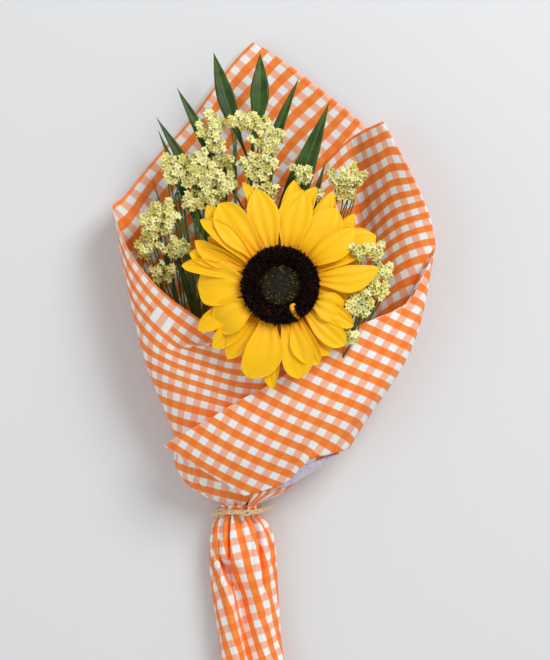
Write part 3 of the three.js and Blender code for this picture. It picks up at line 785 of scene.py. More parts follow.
# %% Paper tail
TAIL_ROWS = [                             # distance above the tie, middle, half width, half height
    (-160, 14, 28, 15), (-109, 8.3, 23, 14.5), (-70, 4.4, 24, 14.5), (-28, 2, 23.5, 15),
    (-12, 1, 19, 14.5), (-6, 0, 14, 12.5), (0, 0, 14, 12.5), (4, 0, 14, 12.5)]
DEEP_FOLD = [(-160, 94), (-104, 98.5), (-86, 101), (-65, 105), (-56, 114), (-48, 121), (-39, 133)]
SHOULDER_Y = -28                          # the tail is widest here, just below the gathers
TAIL_PLEATS = 15
TAIL_TOP, TAIL_LENGTH = 3.0, 163.0


def tail_point(angle, y, gathered=True):
    """Points of the tail. Before the tie is drawn it is a tube as wide as its shoulder."""
    row = read_row(TAIL_ROWS, y if gathered else np.minimum(y, SHOULDER_Y))
    middle, half_width, half_height = row[:, 1:4].T
    turn = np.radians(angle)
    places = np.stack([middle + half_width * np.cos(turn), y,
                       np.maximum(half_height, 17 + 0.28 * y) + half_height * np.sin(turn)], 1)
    inwards = -np.stack([np.cos(turn), np.zeros_like(y), np.sin(turn)], 1)
    fold_angle = np.interp(y, *np.array(DEEP_FOLD).T)
    aside = (angle - 360 * (angle > 360) - fold_angle) * half_width / 57.3
    profile = np.where(aside > 0, np.exp(-(aside / 2.0) ** 2), np.exp(-(aside / 9) ** 2))
    lip = 2.0 * np.exp(-((aside - 6) / 4) ** 2) * smooth_step(-y, 30, 60)
    depth = (13.0 - 4.5 * smooth_step(-y, 60, 105)) * smooth_step(-y, 33, 44) * profile - lip
    low_folds = 1.1 * np.sin(5 * turn + 0.02 * y + 1.0) * smooth_step(-y, 20, 60)
    places += inwards * low_folds[:, None]
    places[:, 2] -= depth
    if gathered:
        phase = TAIL_PLEATS * turn / math.tau + 0.35 * np.sin(2 * turn + 0.6) - 0.0015 * y
        valley = np.exp(-((phase % 1 - 0.5) / 0.12) ** 2)
        uneven = np.sin(2.7 * np.floor(phase))
        gather = np.exp(y / (30 + 14 * uneven)) * smooth_step(-y, -1, 5)
        places += inwards * (gather * (7.0 + 2.6 * uneven) * (1.2 * valley - 0.35))[:, None]
    return places


def make_tail(columns=300, lines=130):
    """The tail's grid goes once round and overlaps at the back; its lines are closest at the tie."""
    sheet, grid = blank_sheet(columns, lines)
    angle = 262 + 376 * grid[:, 0]
    y = TAIL_TOP - TAIL_LENGTH * grid[:, 1] ** 1.2
    rolled = tail_point(angle, y, gathered=False)
    front = (angle > 380) & (angle < 520)
    pattern = aimed(flat_pattern(sheet, rolled), rolled, front, (16, -85), -71.0)
    return print_and_place(sheet, "wrap_tail_paper", pattern + (3 * CLEAR_OF_MISS, 3.0), tail_point(angle, y))


stands_for(make_tail(), "gingham_paper", "wrap_tail")

# %% [markdown]
# A round lilac seal holds the turned-under layer. It is plain, and sits half under the fold. It
# starts as a flat disc and is laid over the sheet's curve, which a flat disc could not follow.

# %% Seal
SEAL_ANGLE, SEAL_Y, SEAL_RADIUS = 385, 29.5, 15
SEAL_SQUASH, SEAL_SKEW = 0.78, 0.35       # the sheet's levels are not square to the seal

lilac = Finish("seal_paper", roughness=0.35, coat_weight=0.25)
speckle = lilac.noise(lilac.place(), 260.0, 3.0, 0.6)
LILAC = lilac.feed(
    base_color=lilac.mix(lilac.ramp(speckle, 0.35, 0.65), colour(205, 190, 222), colour(234, 228, 240)),
    roughness=0.3 + 0.2 * speckle)


def make_seal():
    """A disc laid on the sheet: its flat radius is followed over the sheet's curve."""
    disc = bmesh.new()
    bmesh.ops.create_circle(disc, cap_ends=True, cap_tris=True, segments=48, radius=SEAL_RADIUS)
    bmesh.ops.subdivide_edges(disc, edges=[e for e in disc.edges if not e.is_boundary], cuts=5,
                              use_grid_fill=True)
    flat = np.array([v.co[:] for v in disc.verts])
    middle = roll_point(FRONT_SHEET, np.array([SEAL_ANGLE - 0.5, SEAL_ANGLE + 0.5, SEAL_ANGLE]),
                        np.array([SEAL_Y, SEAL_Y, SEAL_Y + 0.5], float))
    per_degree = np.linalg.norm(middle[1] - middle[0])
    angle = SEAL_ANGLE - flat[:, 0] / per_degree
    y = SEAL_Y + flat[:, 1] * SEAL_SQUASH + flat[:, 0] * SEAL_SKEW
    places = roll_point(FRONT_SHEET, angle, y)
    places += outwards_from(places) * (1.1 - 4.0 * under_flap(places))[:, None]
    for vertex, place in zip(disc.verts, places):
        vertex.co = place
    bmesh.ops.recalc_face_normals(disc, faces=disc.faces)
    piece = finished(disc, "round_seal", LILAC)
    thickened(piece, 0.2)
    return piece


stands_for(make_seal(), "seal", "seal")

# %% [markdown]
# ## Tubes and many small copies
# Stems, twigs and twine are tubes: a grid rolled round a path and closed where its radius is
# nothing. Florets are one small shape copied many times into one mesh, and each copy takes one
# of a few plain colours.

# %% Tubes
def rolled_tube(mesh_source, path, radii, sides=8):
    """Adds a closed tube along a path; its two ends are drawn together to a point."""
    path = np.asarray(path, float)
    run = np.gradient(path, axis=0)
    run /= np.linalg.norm(run, axis=1, keepdims=True)
    run = np.vstack([run[:1], run, run[-1:]])
    radii = np.concatenate([[0.0], np.broadcast_to(radii, len(path)), [0.0]])
    path = np.vstack([path[:1], path, path[-1:]])
    side = np.cross(run[0], (0, 0, 1) if abs(run[0][2]) < 0.9 else (1, 0, 0))
    rings = []
    for place, along_run, radius in zip(path, run, radii):
        side = side - along_run * (side @ along_run)
        side /= np.linalg.norm(side)
        other = np.cross(along_run, side)
        turn = np.linspace(0, math.tau, sides + 1)[:, None]
        rings.append(place + radius * (np.cos(turn) * side + np.sin(turn) * other))
    made = bmesh.ops.create_grid(mesh_source, x_segments=sides, y_segments=len(path) - 1, size=1)
    for vertex in made["verts"]:
        column = round((vertex.co.x + 1) / 2 * sides)
        ring = round((vertex.co.y + 1) / 2 * (len(path) - 1))
        vertex.co = rings[ring][column]


def close_seams(mesh_source):
    """Merges the seams of rolled tubes and turns every face outwards."""
    bmesh.ops.remove_doubles(mesh_source, verts=mesh_source.verts, dist=0.001)
    bmesh.ops.recalc_face_normals(mesh_source, faces=mesh_source.faces)


test_tube = bmesh.new()
rolled_tube(test_tube, [(0, 0, 0), (0, 0, 5), (0, 0, 10)], 1.0)
close_seams(test_tube)
print("a test tube closes with", len(test_tube.verts), "vertices")
test_tube.free()

# %% [markdown]
# An instancer would copy the florets too, but here the florets of a spray make one mesh.
# So the copies are placed with arrays, and a list of shades says which finish each copy takes.

# %% Small copies
def many(name, shape, placings, shades, materials):
    """One mesh of many copies of a small shape, each in one of a few plain finishes."""
    shape.verts.ensure_lookup_table()
    points = np.array([v.co[:] for v in shape.verts])
    faces = [[v.index for v in face.verts] for face in shape.faces]
    placings = np.asarray(placings, float)
    placed = np.einsum("nij,vj->nvi", placings[:, :3, :3], points) + placings[:, None, :3, 3]
    mesh = bpy.data.meshes.new(name)
    mesh.from_pydata((placed.reshape(-1, 3) * MM + np.array(ZERO)).tolist(), [],
                     [[k * len(points) + i for i in face] for k in range(len(placings)) for face in faces])
    for material in materials:
        mesh.materials.append(material)
    mesh.polygons.foreach_set("material_index", np.repeat(shades, len(faces)))
    mesh.shade_flat()
    piece = bpy.data.objects.new(name, mesh)
    bpy.context.scene.collection.objects.link(piece)
    print(name, len(placings), "copies,", len(mesh.polygons), "faces")
    return piece


def placing(place, facing, size=1.0, spin=0.0):
    """A matrix that stands a shape's +z along a direction, turned by spin."""
    turn = Vector(facing).to_track_quat("Z", "Y").to_matrix().to_4x4()
    return np.array(Matrix.Translation(place) @ turn @ Matrix.Rotation(spin, 4, "Z") @ Matrix.Scale(size, 4))


def add_cone(shape, sides, foot, top, height, middle):
    """Adds an open cone with the radii of its foot and top; its middle stands at a height."""
    made = bmesh.ops.create_cone(shape, cap_ends=False, segments=sides, radius1=foot, radius2=top,
                                 depth=height)
    bmesh.ops.translate(shape, verts=made["verts"], vec=(0, 0, middle))


def give_map(vertices, layer, uv):
    """Writes each vertex's place on a map to the corners of its faces."""
    for face in {face for vertex in vertices for face in vertex.link_faces}:
        for loop in face.loops:
            loop[layer].uv = uv[loop.vert]


def plain(name, shade, roughness, grain=700.0, depth=0.0, **constants):
    """A finish of one plain colour whose sheen varies with a fine grain."""
    made = Finish(name, base_color=shade, **constants)
    speck = made.noise(made.place(), grain, 2.0, 0.6)
    wires = {"roughness": roughness - 0.1 + 0.2 * speck}
    if depth:
        wires["normal"] = made.bump(speck, 0.5, depth * MM)
    return made.feed(**wires)


print("a copy stood up at the head of a test stem is at", placing((0, 0, 9), (0, 0, 1))[:3, 3])

# %% [markdown]
# ## The tie
# Raffia is a flat, dry palm fibre. Three fine strands lie twisted together in each turn, and the
# cut ends fray apart. Each strand is a tube of its own that winds round the turn's middle line,
# so its shadows are real ones; a printed twist on one thick tube would look smooth at its edges.

# %% Twine
TURN_HALF_WIDTH, TURN_HALF_HEIGHT, TURN_MIDDLE = 16.6, 15.6, 17.2
STRAND = 0.5                              # radius of a strand

straw = Finish("raffia", roughness=0.6, specular_ior_level=0.3)
dry = straw.noise(straw.place(), 420.0, 4.0, 0.7)
RAFFIA = straw.feed(
    base_color=straw.mix(straw.ramp(dry, 0.3, 0.7), colour(206, 174, 124), colour(244, 222, 182)),
    roughness=0.5 + 0.3 * dry,
    normal=straw.bump(dry, 0.5, 0.0002))


def twisted(mesh_source, path, strands=3, spread=0.5, pitch=7.0, radius=STRAND, fray=0.0):
    """Lays strands round a path like a cord; fray opens them towards the path's end."""
    path = np.asarray(path, float)
    lengths = np.concatenate([[0], np.cumsum(np.linalg.norm(np.diff(path, axis=0), axis=1))])
    run = np.gradient(path, axis=0)
    run /= np.linalg.norm(run, axis=1, keepdims=True)
    side = np.cross(run, (0.2, 0.1, 1))
    side /= np.linalg.norm(side, axis=1, keepdims=True)
    other = np.cross(run, side)
    open_up = 1 + fray * (lengths / lengths[-1])[:, None] ** 2
    for k in range(strands):
        turn = (math.tau * lengths / pitch)[:, None] * (1 - 0.6 * (fray > 0)) + math.tau * k / strands
        round_path = path + spread * open_up * (np.cos(turn) * side + np.sin(turn) * other)
        taper = np.linspace(1, 0.45 if fray else 1.0, len(path))
        rolled_tube(mesh_source, round_path, radius * taper, 6)


def make_turn(index, y):
    """One turn round the gathered paper, its ends closed under the knot."""
    turn = np.linspace(math.pi / 2, math.pi / 2 + math.tau, 97)
    wobble = 0.35 * np.sin(3 * turn + index)
    path = np.stack([TURN_HALF_WIDTH * np.cos(turn), y + wobble,
                     TURN_MIDDLE + TURN_HALF_HEIGHT * np.sin(turn)], 1)
    cord = bmesh.new()
    twisted(cord, path)
    close_seams(cord)
    stands_for(finished(cord, f"raffia_turn_{index}", RAFFIA), "twine", f"tie_turn_{index}")


for number, turn_y in ((1, -0.8), (2, -3.0)):
    make_turn(number, turn_y)

# %% Knot and ends
KNOT = np.array([6, -2.0, 35.0])
knot_bm = bmesh.new()
loop_turn = np.linspace(0, 2 * math.tau, 61)
knot_loop = KNOT + np.stack([2.5 * np.cos(loop_turn), 1.7 * np.sin(loop_turn + 0.5),
                             1.2 + 0.9 * np.sin(1.5 * loop_turn)], 1)
twisted(knot_bm, knot_loop, radius=0.6)
close_seams(knot_bm)
stands_for(finished(knot_bm, "raffia_knot", RAFFIA), "twine", "tie_knot")

for end_name, reach, droop in (("left", (-27, -1.5, -9), 3.0), ("right", (20, 3.0, -9), 3.5)):
    way = math.copysign(1, reach[0])
    start, tip = KNOT + (way * 1.5, 0, 1.4), KNOT + reach
    bend = (start + tip) / 2 + (way * 2, 0.8, droop)
    end_bm = bmesh.new()
    twisted(end_bm, smooth_line([start, bend, tip], 20), radius=0.55, fray=3.0)
    twisted(end_bm, smooth_line([start, bend + (0, -1.2, 0.5), tip + (-way * 5, -2.5, 1.0)], 20),
            strands=1, spread=0.2, radius=0.4, fray=1.0)
    close_seams(end_bm)
    stands_for(finished(end_bm, f"raffia_end_{end_name}", RAFFIA), "twine", f"tie_end_{end_name}")

# %% [markdown]
# ## The sunflower
# A sunflower head is a disc of hundreds of tiny florets set by the golden angle, with one row of
# long ray florets, the petals, that overlap in two or three layers. Behind them green bracts
# close round the head, and a thick ribbed stem carries it.

# %% Finishes of the sunflower
petal_finish = Finish("ray_petal", roughness=0.5, specular_ior_level=0.3)
lengthways, crossways = petal_finish.sheet_place("petal")
vein_wave = petal_finish.node("ShaderNodeMath", {"operation": "SINE"}, crossways * 62.0)
vein_noise = petal_finish.noise(petal_finish.place(), 160.0, 3.0, 0.6)
shade_of = petal_finish.ramp(vein_wave + 1.1 * (vein_noise - 0.5), 0.55, 1.3)
base_deep = 1 - petal_finish.ramp(lengthways, 0.02, 0.38)
tip_light = petal_finish.ramp(lengthways, 0.75, 1.0)
petal_colour = petal_finish.mix(shade_of * 0.35, colour(255, 197, 0), colour(246, 166, 0))
petal_colour = petal_finish.mix(base_deep * 0.75, petal_colour, colour(250, 164, 0))
petal_colour = petal_finish.mix(tip_light * 0.5, petal_colour, colour(255, 208, 10))
PETAL = petal_finish.feed(
    base_color=petal_colour,
    roughness=0.42 + 0.2 * vein_noise,
    normal=petal_finish.bump(vein_wave * 0.4 + vein_noise, 0.22, 0.0004))

stem_finish = Finish("green_stem", roughness=0.55)
stem_grain = stem_finish.noise(stem_finish.place(), 350.0, 4.0, 0.6)
GREEN_STEM = stem_finish.feed(
    base_color=stem_finish.mix(stem_finish.ramp(stem_grain, 0.3, 0.7), colour(70, 108, 50),
                               colour(112, 150, 74)),
    roughness=0.45 + 0.25 * stem_grain,
    normal=stem_finish.bump(stem_grain, 0.4, 0.0005))

HEAD = np.array([30.4, 165.4, 96.0])
DISC_RADIUS = 28.0
print("the petal's finish has", len(petal_finish.tree.nodes), "nodes")

# %% [markdown]
# A petal is a strip of paper-thin tissue with two grooves along it. A grid of faces is bent into
# that form by a formula: its half width, its lift and its bow all depend on how far out a vertex
# is. A table gives every petal its own direction, reach and width, and a seeded draw its bend,
# because no two petals of a real head lie alike.

# %% Ray petals
# Each petal: direction of its tip in degrees, reach from the middle of the disc, full width,
# layer (2 is the front), and how blunt its tip is, from 0 to 1.
PETALS = [
    (127, 73, 21, 2, .7), (109, 79, 11, 0, .2), (104, 71, 20, 2, .2), (82, 76, 16, 0, .2),
    (77, 70, 21, 2, .3), (71, 75, 14, 1, .3), (60, 77, 15, 0, .2), (53, 68, 21, 2, .5),
    (43, 74, 14, 0, .2), (37, 67, 17, 2, .4), (28, 77, 19, 1, .8), (9, 72, 17, 2, .1),
    (1, 62, 15, 0, .4), (-6, 50, 17, 1, .4), (-11, 57, 13, 0, .5), (-24, 49, 18, 2, .8),
    (-29, 60, 12, 0, .5), (-43, 63, 15, 1, .8), (-65, 63, 16, 1, .5), (-78, 68, 20, 2, .7),
    (-95, 75, 13, 0, .2), (-107.5, 70, 23, 2, .7), (-126, 65, 14, 0, .3), (-137, 66, 14, 0, .3),
    (-148, 55, 21, 2, .9), (-152, 67, 13, 0, .5), (180, 59, 27, 2, 1.), (168, 72, 10, 1, .7),
    (160, 69, 11, 1, .8), (153, 69, 12, 1, .4), (140, 74, 13, 2, .3), (133, 78, 15, 0, .4),
    (96, 56, 15, 0, .5), (146, 62, 16, 0, .4), (118, 62, 14, 0, .4), (18, 62, 15, 0, .4),
    (-55, 61, 17, 0, .5)]
PETAL_ROOT = 24.0
PETAL_FULLNESS = 1.2                      # petals overlap by more than their width as seen


def add_petal(rays, degrees, reach, width, layer, blunt, rng):
    """One ray floret: narrow at its root, widest past the middle, with two lengthwise grooves."""
    petal_map = rays.loops.layers.uv["petal"]
    made = bmesh.ops.create_grid(rays, x_segments=10, y_segments=16, size=1)
    turn, bow = math.radians(degrees), rng.uniform(-0.09, 0.09)
    cup, twist = rng.uniform(0.6, 2.6), rng.uniform(-0.16, 0.16)
    droop = rng.uniform(0.0, 2.5) + 4.0 * (reach < 60)
    crest = rng.uniform(1.5, 3.5)
    number = rng.uniform(0, 40)
    uv = {}
    for vertex in made["verts"]:
        v = (vertex.co.y + 1) / 2
        u = vertex.co.x
        swell = 0.42 + 0.58 * smooth_step(v, 0.0, 0.55)
        point = max(0.0, (v - 0.5) / 0.5)
        narrowing = (1 - point ** (1.75 + 2.2 * blunt)) ** (0.85 - 0.3 * blunt)
        half = PETAL_FULLNESS * width / 2 * swell * narrowing
        far = PETAL_ROOT + (reach - PETAL_ROOT) * v
        groove = 0.9 * math.cos(3 * math.pi * u + 0.8 * crest) * (1 - 0.4 * v)
        lift = (2.4 * layer - 2.4 + crest * math.sin(math.pi * v) * (1 + 0.25 * layer)
                - droop * v ** 3 + cup * u * u * min(1, half / 5) + groove * min(1, half / 5)
                + twist * u * half * v + 0.5 * math.sin(7 * v + number) * u)
        sideways = half * u
        here = turn + bow * (math.sin(math.pi * v) - 0.2)
        x = far * math.cos(here) - sideways * math.sin(here)
        y = far * math.sin(here) + sideways * math.cos(here)
        vertex.co = (HEAD[0] + x, HEAD[1] + y, HEAD[2] + lift)
        uv[vertex] = (v, u * half / 15 + number)
    give_map(made["verts"], petal_map, uv)


rays_bm = bmesh.new()
rays_bm.loops.layers.uv.new("petal")
petal_rng = random.Random(5)
for petal in PETALS:
    add_petal(rays_bm, *petal, petal_rng)
bmesh.ops.recalc_face_normals(rays_bm, faces=rays_bm.faces)
ray_petals = finished(rays_bm, "ray_petals", PETAL)
thickened(ray_petals, 0.4)
modifier(ray_petals, "SUBSURF", levels=1, render_levels=1)
stands_for(ray_petals, "ray_mass", "sunflower_rays")

# %% A curled petal
CURL_LINE = [(13.5, -23.6, 7.5), (10.8, -21, 10.5), (8.6, -17.5, 12.5), (8.4, -14.6, 13.5),
             (10.4, -13.4, 13.0)]         # from the middle of the head
CURL_RADIUS = 1.9

curl_path = smooth_line(CURL_LINE, 8) + HEAD
curl_bm = bmesh.new()
curl_bm.loops.layers.uv.new("petal")
rolled_tube(curl_bm, curl_path, CURL_RADIUS * np.sin(np.linspace(0.35, 2.9, len(curl_path))) ** 0.7)
close_seams(curl_bm)
stands_for(finished(curl_bm, "curled_petal", PETAL), "ray_mass")

# %% [markdown]
# The disc's floor is turned on a lathe: half of its section is drawn and spun once round. The
# florets stand on it along a spiral that turns by the golden angle at each step, as they grow on
# the real head. The outer ones are open, and lean outwards; those in the middle are still buds.

# %% Disc floor
disc_finish = Finish("disc_floor", roughness=0.8)
disc_grain = disc_finish.noise(disc_finish.place(), 900.0, 3.0, 0.7)
DISC_FLOOR = disc_finish.feed(
    base_color=disc_finish.mix(disc_grain, colour(22, 12, 8), colour(44, 26, 18)),
    roughness=0.7 + 0.2 * disc_grain)
DISC_DARK = plain("disc_floret_dark", colour(38, 16, 12), 0.6)
DISC_BROWN = plain("disc_floret_brown", colour(70, 32, 18), 0.6)
DISC_OLIVE = plain("disc_bud_olive", colour(68, 66, 24), 0.7, specular_ior_level=0.1)
DISC_DEEP = plain("disc_bud_deep", colour(38, 38, 16), 0.7, specular_ior_level=0.1)
# The pale bud finish is a painted highlight: a few specks everywhere, and most in the outer part of the buds
# on the half of the dome that faces away from the tie.
DISC_BUD_HIGHLIGHT = plain("disc_bud_painted_highlight", colour(122, 114, 48), 0.7, specular_ior_level=0.1)
DISC_LIFT = 5                             # the disc's widest plane above the petals' roots


def disc_height(radius):
    """The disc's surface above its widest plane: a ring of open florets round a low dome."""
    ring = 6.2 * smooth_step(28.5 - radius, 0, 7)
    dip = 2.2 * smooth_step(20 - radius, 0, 6)
    dome = 2.6 * np.sqrt(np.maximum(0, 1 - (radius / 14.5) ** 2))
    return ring - dip + dome


def lathed(profile, steps):
    """A body turned on a lathe: its half section, spun once round the upright axis."""
    body = bmesh.new()
    points = [body.verts.new(point) for point in profile]
    edges = [body.edges.new(pair) for pair in zip(points, points[1:])]
    bmesh.ops.spin(body, geom=points + edges, cent=(0, 0, 0), axis=(0, 0, 1), angle=math.tau,
                   steps=steps, use_merge=True)
    bmesh.ops.remove_doubles(body, verts=body.verts, dist=0.01)
    return body


floor_profile = [(radius, 0, disc_height(radius) - 0.4) for radius in np.linspace(0, DISC_RADIUS, 22)]
floor_profile += [(26, 0, -4), (20, 0, -6.5), (0, 0, -7)]
disc_bm = lathed(floor_profile, 48)
bmesh.ops.recalc_face_normals(disc_bm, faces=disc_bm.faces)
bmesh.ops.translate(disc_bm, verts=disc_bm.verts, vec=HEAD + (0, 0, DISC_LIFT))
stands_for(finished(disc_bm, "disc_floor", DISC_FLOOR), "disc_mass", "sunflower_disc")

# %% Places of the disc florets
GOLDEN_ANGLE = math.pi * (3 - math.sqrt(5))
BUD_RADIUS = 13.6                         # unopened middle of the disc
FLORET_REACH = 0.955                      # share of the disc's radius that florets stand on
FLORET_COUNT = 1250

disc_rng = random.Random(8)
open_florets, buds, open_shades, bud_shades = [], [], [], []
for k in range(FLORET_COUNT):
    share_out = math.sqrt((k + 0.5) / FLORET_COUNT)
    radius = FLORET_REACH * DISC_RADIUS * share_out
    turn = k * GOLDEN_ANGLE
    away = np.array([math.cos(turn), math.sin(turn), 0])
    foot = HEAD + away * radius + (0, 0, DISC_LIFT + float(disc_height(radius)) - 0.5)
    if radius > BUD_RADIUS:
        lean = 0.1 + 0.75 * smooth_step(radius, 21, 28)
        facing = away * lean + (disc_rng.uniform(-.25, .25), disc_rng.uniform(-.25, .25), 1)
        open_florets.append(placing(foot, facing, disc_rng.uniform(0.8, 1.15), disc_rng.uniform(0, 6)))
        open_shades.append(int(disc_rng.random() < 0.3))
    else:
        facing = away * radius / 22 + (0, 0, 1)
        buds.append(placing(foot, facing, 0.62 + 0.3 * radius / BUD_RADIUS, disc_rng.uniform(0, 6)))
        # Pale buds are a painted highlight, most often in the outer part of the buds and on the half of the
        # dome that faces away from the tie.
        highlight_here = 0.05 + 0.25 * smooth_step(radius, 6, 11) * (0.4 + 0.6 * max(0, math.sin(turn)))
        pick = disc_rng.random()
        bud_shades.append(2 if pick < highlight_here else 0 if pick < 0.45 else 1)
print(len(open_florets), "open florets and", len(buds), "buds")

# %% Open florets and buds
open_floret = bmesh.new()
add_cone(open_floret, 6, 0.62, 0.5, 3.0, 1.5)
tip_ring = [v for v in open_floret.verts if v.co.z > 2.9]
for vertex, stretch in zip(sorted(tip_ring, key=lambda v: math.atan2(v.co.y, v.co.x)), (1.9, .7) * 3):
    vertex.co = (vertex.co.x * stretch, vertex.co.y * stretch, vertex.co.z + (0.4 if stretch > 1 else -.5))
add_cone(open_floret, 4, 0.34, 0.1, 1.9, 3.6)
stands_for(many("open_disc_florets", open_floret, open_florets, open_shades, (DISC_DARK, DISC_BROWN)),
           "disc_mass")
open_floret.free()

bud_shape = bmesh.new()
add_cone(bud_shape, 6, 0.72, 0.3, 1.5, 0.75)
add_cone(bud_shape, 6, 0.3, 0.02, 0.3, 1.65)
stands_for(many("disc_buds", bud_shape, buds, bud_shades, (DISC_OLIVE, DISC_DEEP, DISC_BUD_HIGHLIGHT)), "disc_mass")
bud_shape.free()

# %% [markdown]
# Behind the petals a green cup holds the head. It is turned on the lathe too, and two rings of
# pointed bracts lie against it, the second ring in the gaps of the first.

# %% Bracts
CUP_PROFILE = [(4.0, 0, -15), (6, 0, -14.4), (12, 0, -11.8), (19, 0, -8), (27, 0, -4.2), (29, 0, -3.2),
               (26, 0, -2.4), (0, 0, -2.2)]
BRACT_RINGS = [(14, 40, -6.5), (14, 36, -9.5)]             # how many, their reach and their height

cup_bm = lathed(CUP_PROFILE, 40)
bract_rng = random.Random(11)
for ring, (count, reach, height) in enumerate(BRACT_RINGS):
    for k in range(count):
        turn = math.tau * (k + 0.5 * ring) / count + bract_rng.uniform(-.08, .08)
        made = bmesh.ops.create_grid(cup_bm, x_segments=4, y_segments=7, size=1)
        for vertex in made["verts"]:
            v, u = (vertex.co.y + 1) / 2, vertex.co.x
            half = 6.5 * (1 - v ** 1.6) ** 0.8 * (0.7 + 0.3 * math.sin(math.pi * v))
            far = 15 + (reach - 15) * v
            z = height + 2.5 * v + 0.8 * u * u + (2.0 * v * v if ring else 1.0 * v)
            vertex.co = (far * math.cos(turn) - half * u * math.sin(turn),
                         far * math.sin(turn) + half * u * math.cos(turn), z)
bmesh.ops.recalc_face_normals(cup_bm, faces=cup_bm.faces)
bmesh.ops.translate(cup_bm, verts=cup_bm.verts, vec=HEAD)
bracts = finished(cup_bm, "bracts", GREEN_STEM)
thickened(bracts, 0.5)
stands_for(bracts, "bract_mass", "sunflower_bracts")

# %% The sunflower's stem
STEM_ROUTE = [(9, -150, 11.5), (3, -60, 12), (0, 0, 17), (14, 80, 36), (26, 135, 52), (30.4, 161.4, 81)]
stem_line = evenly(smooth_line(STEM_ROUTE), np.linspace(0, 1, 90))
stem_bm = bmesh.new()
rolled_tube(stem_bm, stem_line, np.linspace(4.6, 3.7, 90), 20)
close_seams(stem_bm)
stands_for(finished(stem_bm, "sunflower_stalk", GREEN_STEM), "flower_stem", "sunflower_stem")

# %% [markdown]
# ## The palm frond
# The frond has a thin rib and long leaflets, each folded lightly along its middle, pointed at
# its tip, and marked by fine parallel veins. The veins are a sine across the leaflet's own map,
# so they run along it however it bends.

# %% Finish: palm leaf
leaf = Finish("palm_leaf", roughness=0.45, specular_ior_level=0.3)
_, leaf_cross = leaf.sheet_place("leaf")
leaf_line = leaf.node("ShaderNodeMath", {"operation": "SINE"}, leaf_cross * 60.0)
leaf_noise = leaf.noise(leaf.place(), 90.0, 3.0, 0.6)
midrib = 1 - leaf.ramp(abs(leaf_cross - 0.5), 0.0, 0.05)
leaf_colour = leaf.mix(leaf.ramp(leaf_noise, 0.3, 0.75), colour(34, 62, 12), colour(70, 100, 28))
leaf_colour = leaf.mix(leaf.ramp(leaf_line, 0.4, 1.0) * 0.25, leaf_colour, colour(74, 108, 34))
leaf_colour = leaf.mix(midrib * 0.45, leaf_colour, colour(98, 130, 50))
PALM_LEAF = leaf.feed(
    base_color=leaf_colour,
    roughness=0.34 + 0.2 * leaf_noise,
    normal=leaf.bump(leaf_line * 0.5 + leaf_noise, 0.3, 0.0004))

print("the leaf's finish has", len(leaf.tree.nodes), "nodes")

# %% Palm leaflets
RIB_ROUTE = [(8, -150, 8), (1, 0, 10.4), (3, 60, 17), (5, 140, 23), (8, 220, 27), (10, 282, 30)]
FROND_FOOT = 0.36                         # share of the rib below its first leaflet
LEAFLETS = [                              # root's share of the leafy part, tip's x and y, full width
    (.20, 65, 261, 12), (.50, 67, 303, 19), (.74, 44.5, 321, 9), (.93, 15.5, 340, 15),
    (.90, -19, 340, 14), (.76, -46, 313, 10), (.64, -61, 291, 10.5), (.52, -60, 282, 8), (.04, -65, 248, 5)]
LEAF_TIP_HEIGHT = 34.0

rib_line = evenly(smooth_line(RIB_ROUTE), np.linspace(0, 1, 80))
frond_bm = bmesh.new()
leaf_map = frond_bm.loops.layers.uv.new("leaf")
leaf_rng = random.Random(3)
for root_share, tip_x, tip_y, width in LEAFLETS:
    root = evenly(rib_line, FROND_FOOT + (1 - FROND_FOOT) * root_share)
    tip = np.array([tip_x, tip_y, LEAF_TIP_HEIGHT + leaf_rng.uniform(-3, 6)])
    side = np.cross(tip - root, (0, 0, 1))
    side /= np.linalg.norm(side)
    bow = leaf_rng.uniform(-0.04, 0.04)
    made = bmesh.ops.create_grid(frond_bm, x_segments=6, y_segments=26, size=1)
    uv = {}
    for vertex in made["verts"]:
        v, u = (vertex.co.y + 1) / 2, vertex.co.x
        half = 0.62 * width * (0.10 + 0.90 * smooth_step(v, 0.15, 0.68)) * (1 - v ** 3.4) ** 1.15
        spine = root + (tip - root) * v + side * bow * 90 * math.sin(math.pi * v)
        spine[2] += 7 * math.sin(math.pi * v)
        fold = abs(u) * half * 0.35
        vertex.co = spine + side * half * u + (0, 0, fold + 0.3 * math.sin(9 * v + tip_x) * u)
        uv[vertex] = (v, 0.5 + u * half / 15)
    give_map(made["verts"], leaf_map, uv)
bmesh.ops.recalc_face_normals(frond_bm, faces=frond_bm.faces)
leaflets = finished(frond_bm, "palm_leaflets", PALM_LEAF)
thickened(leaflets, 0.35)
stands_for(leaflets, "frond_blade", "palm_frond")

# %% Palm rib
rib_bm = bmesh.new()
rolled_tube(rib_bm, rib_line, np.linspace(1.8, 0.8, 80))
close_seams(rib_bm)
stands_for(finished(rib_bm, "palm_rib", GREEN_STEM), "frond_blade")

# %% [markdown]
# ## The statice
# Statice branches again and again, and each twig carries its papery florets along its outer
# side. The rule here is the same for every spray. A few limbs fan out from the top of the stem
# to places in the spray's own space. Twigs leave each limb to both sides, shorter towards its
# tip, and each twig ends in a tight row of florets.

# %% Statice finishes and small shapes
# The pale floret finish is a painted highlight, taken by florets high in a crown; the deep one is a painted
# shade, taken by some of the low ones.
FLORET_PAINTED_LIGHT = plain("statice_floret_painted_light", colour(250, 246, 178), 0.6, 800.0, 0.1)
FLORET_YELLOW = plain("statice_floret_yellow", colour(238, 230, 136), 0.6, 800.0, 0.1)
FLORET_PAINTED_SHADE = plain("statice_floret_painted_shade", colour(214, 206, 108), 0.6, 800.0, 0.1)
CALYX_GREEN = plain("statice_calyx", colour(146, 170, 92), 0.6)
HEART = plain("statice_heart", colour(72, 62, 26), 0.7)
TWIG_GREEN = plain("statice_twig", colour(70, 108, 40), 0.5, 500.0, 0.2)
print("the statice has 3 floret shades, a calyx, a heart and a twig green")

# %% Small shapes of the statice
FLORET_RADIUS = 3.3

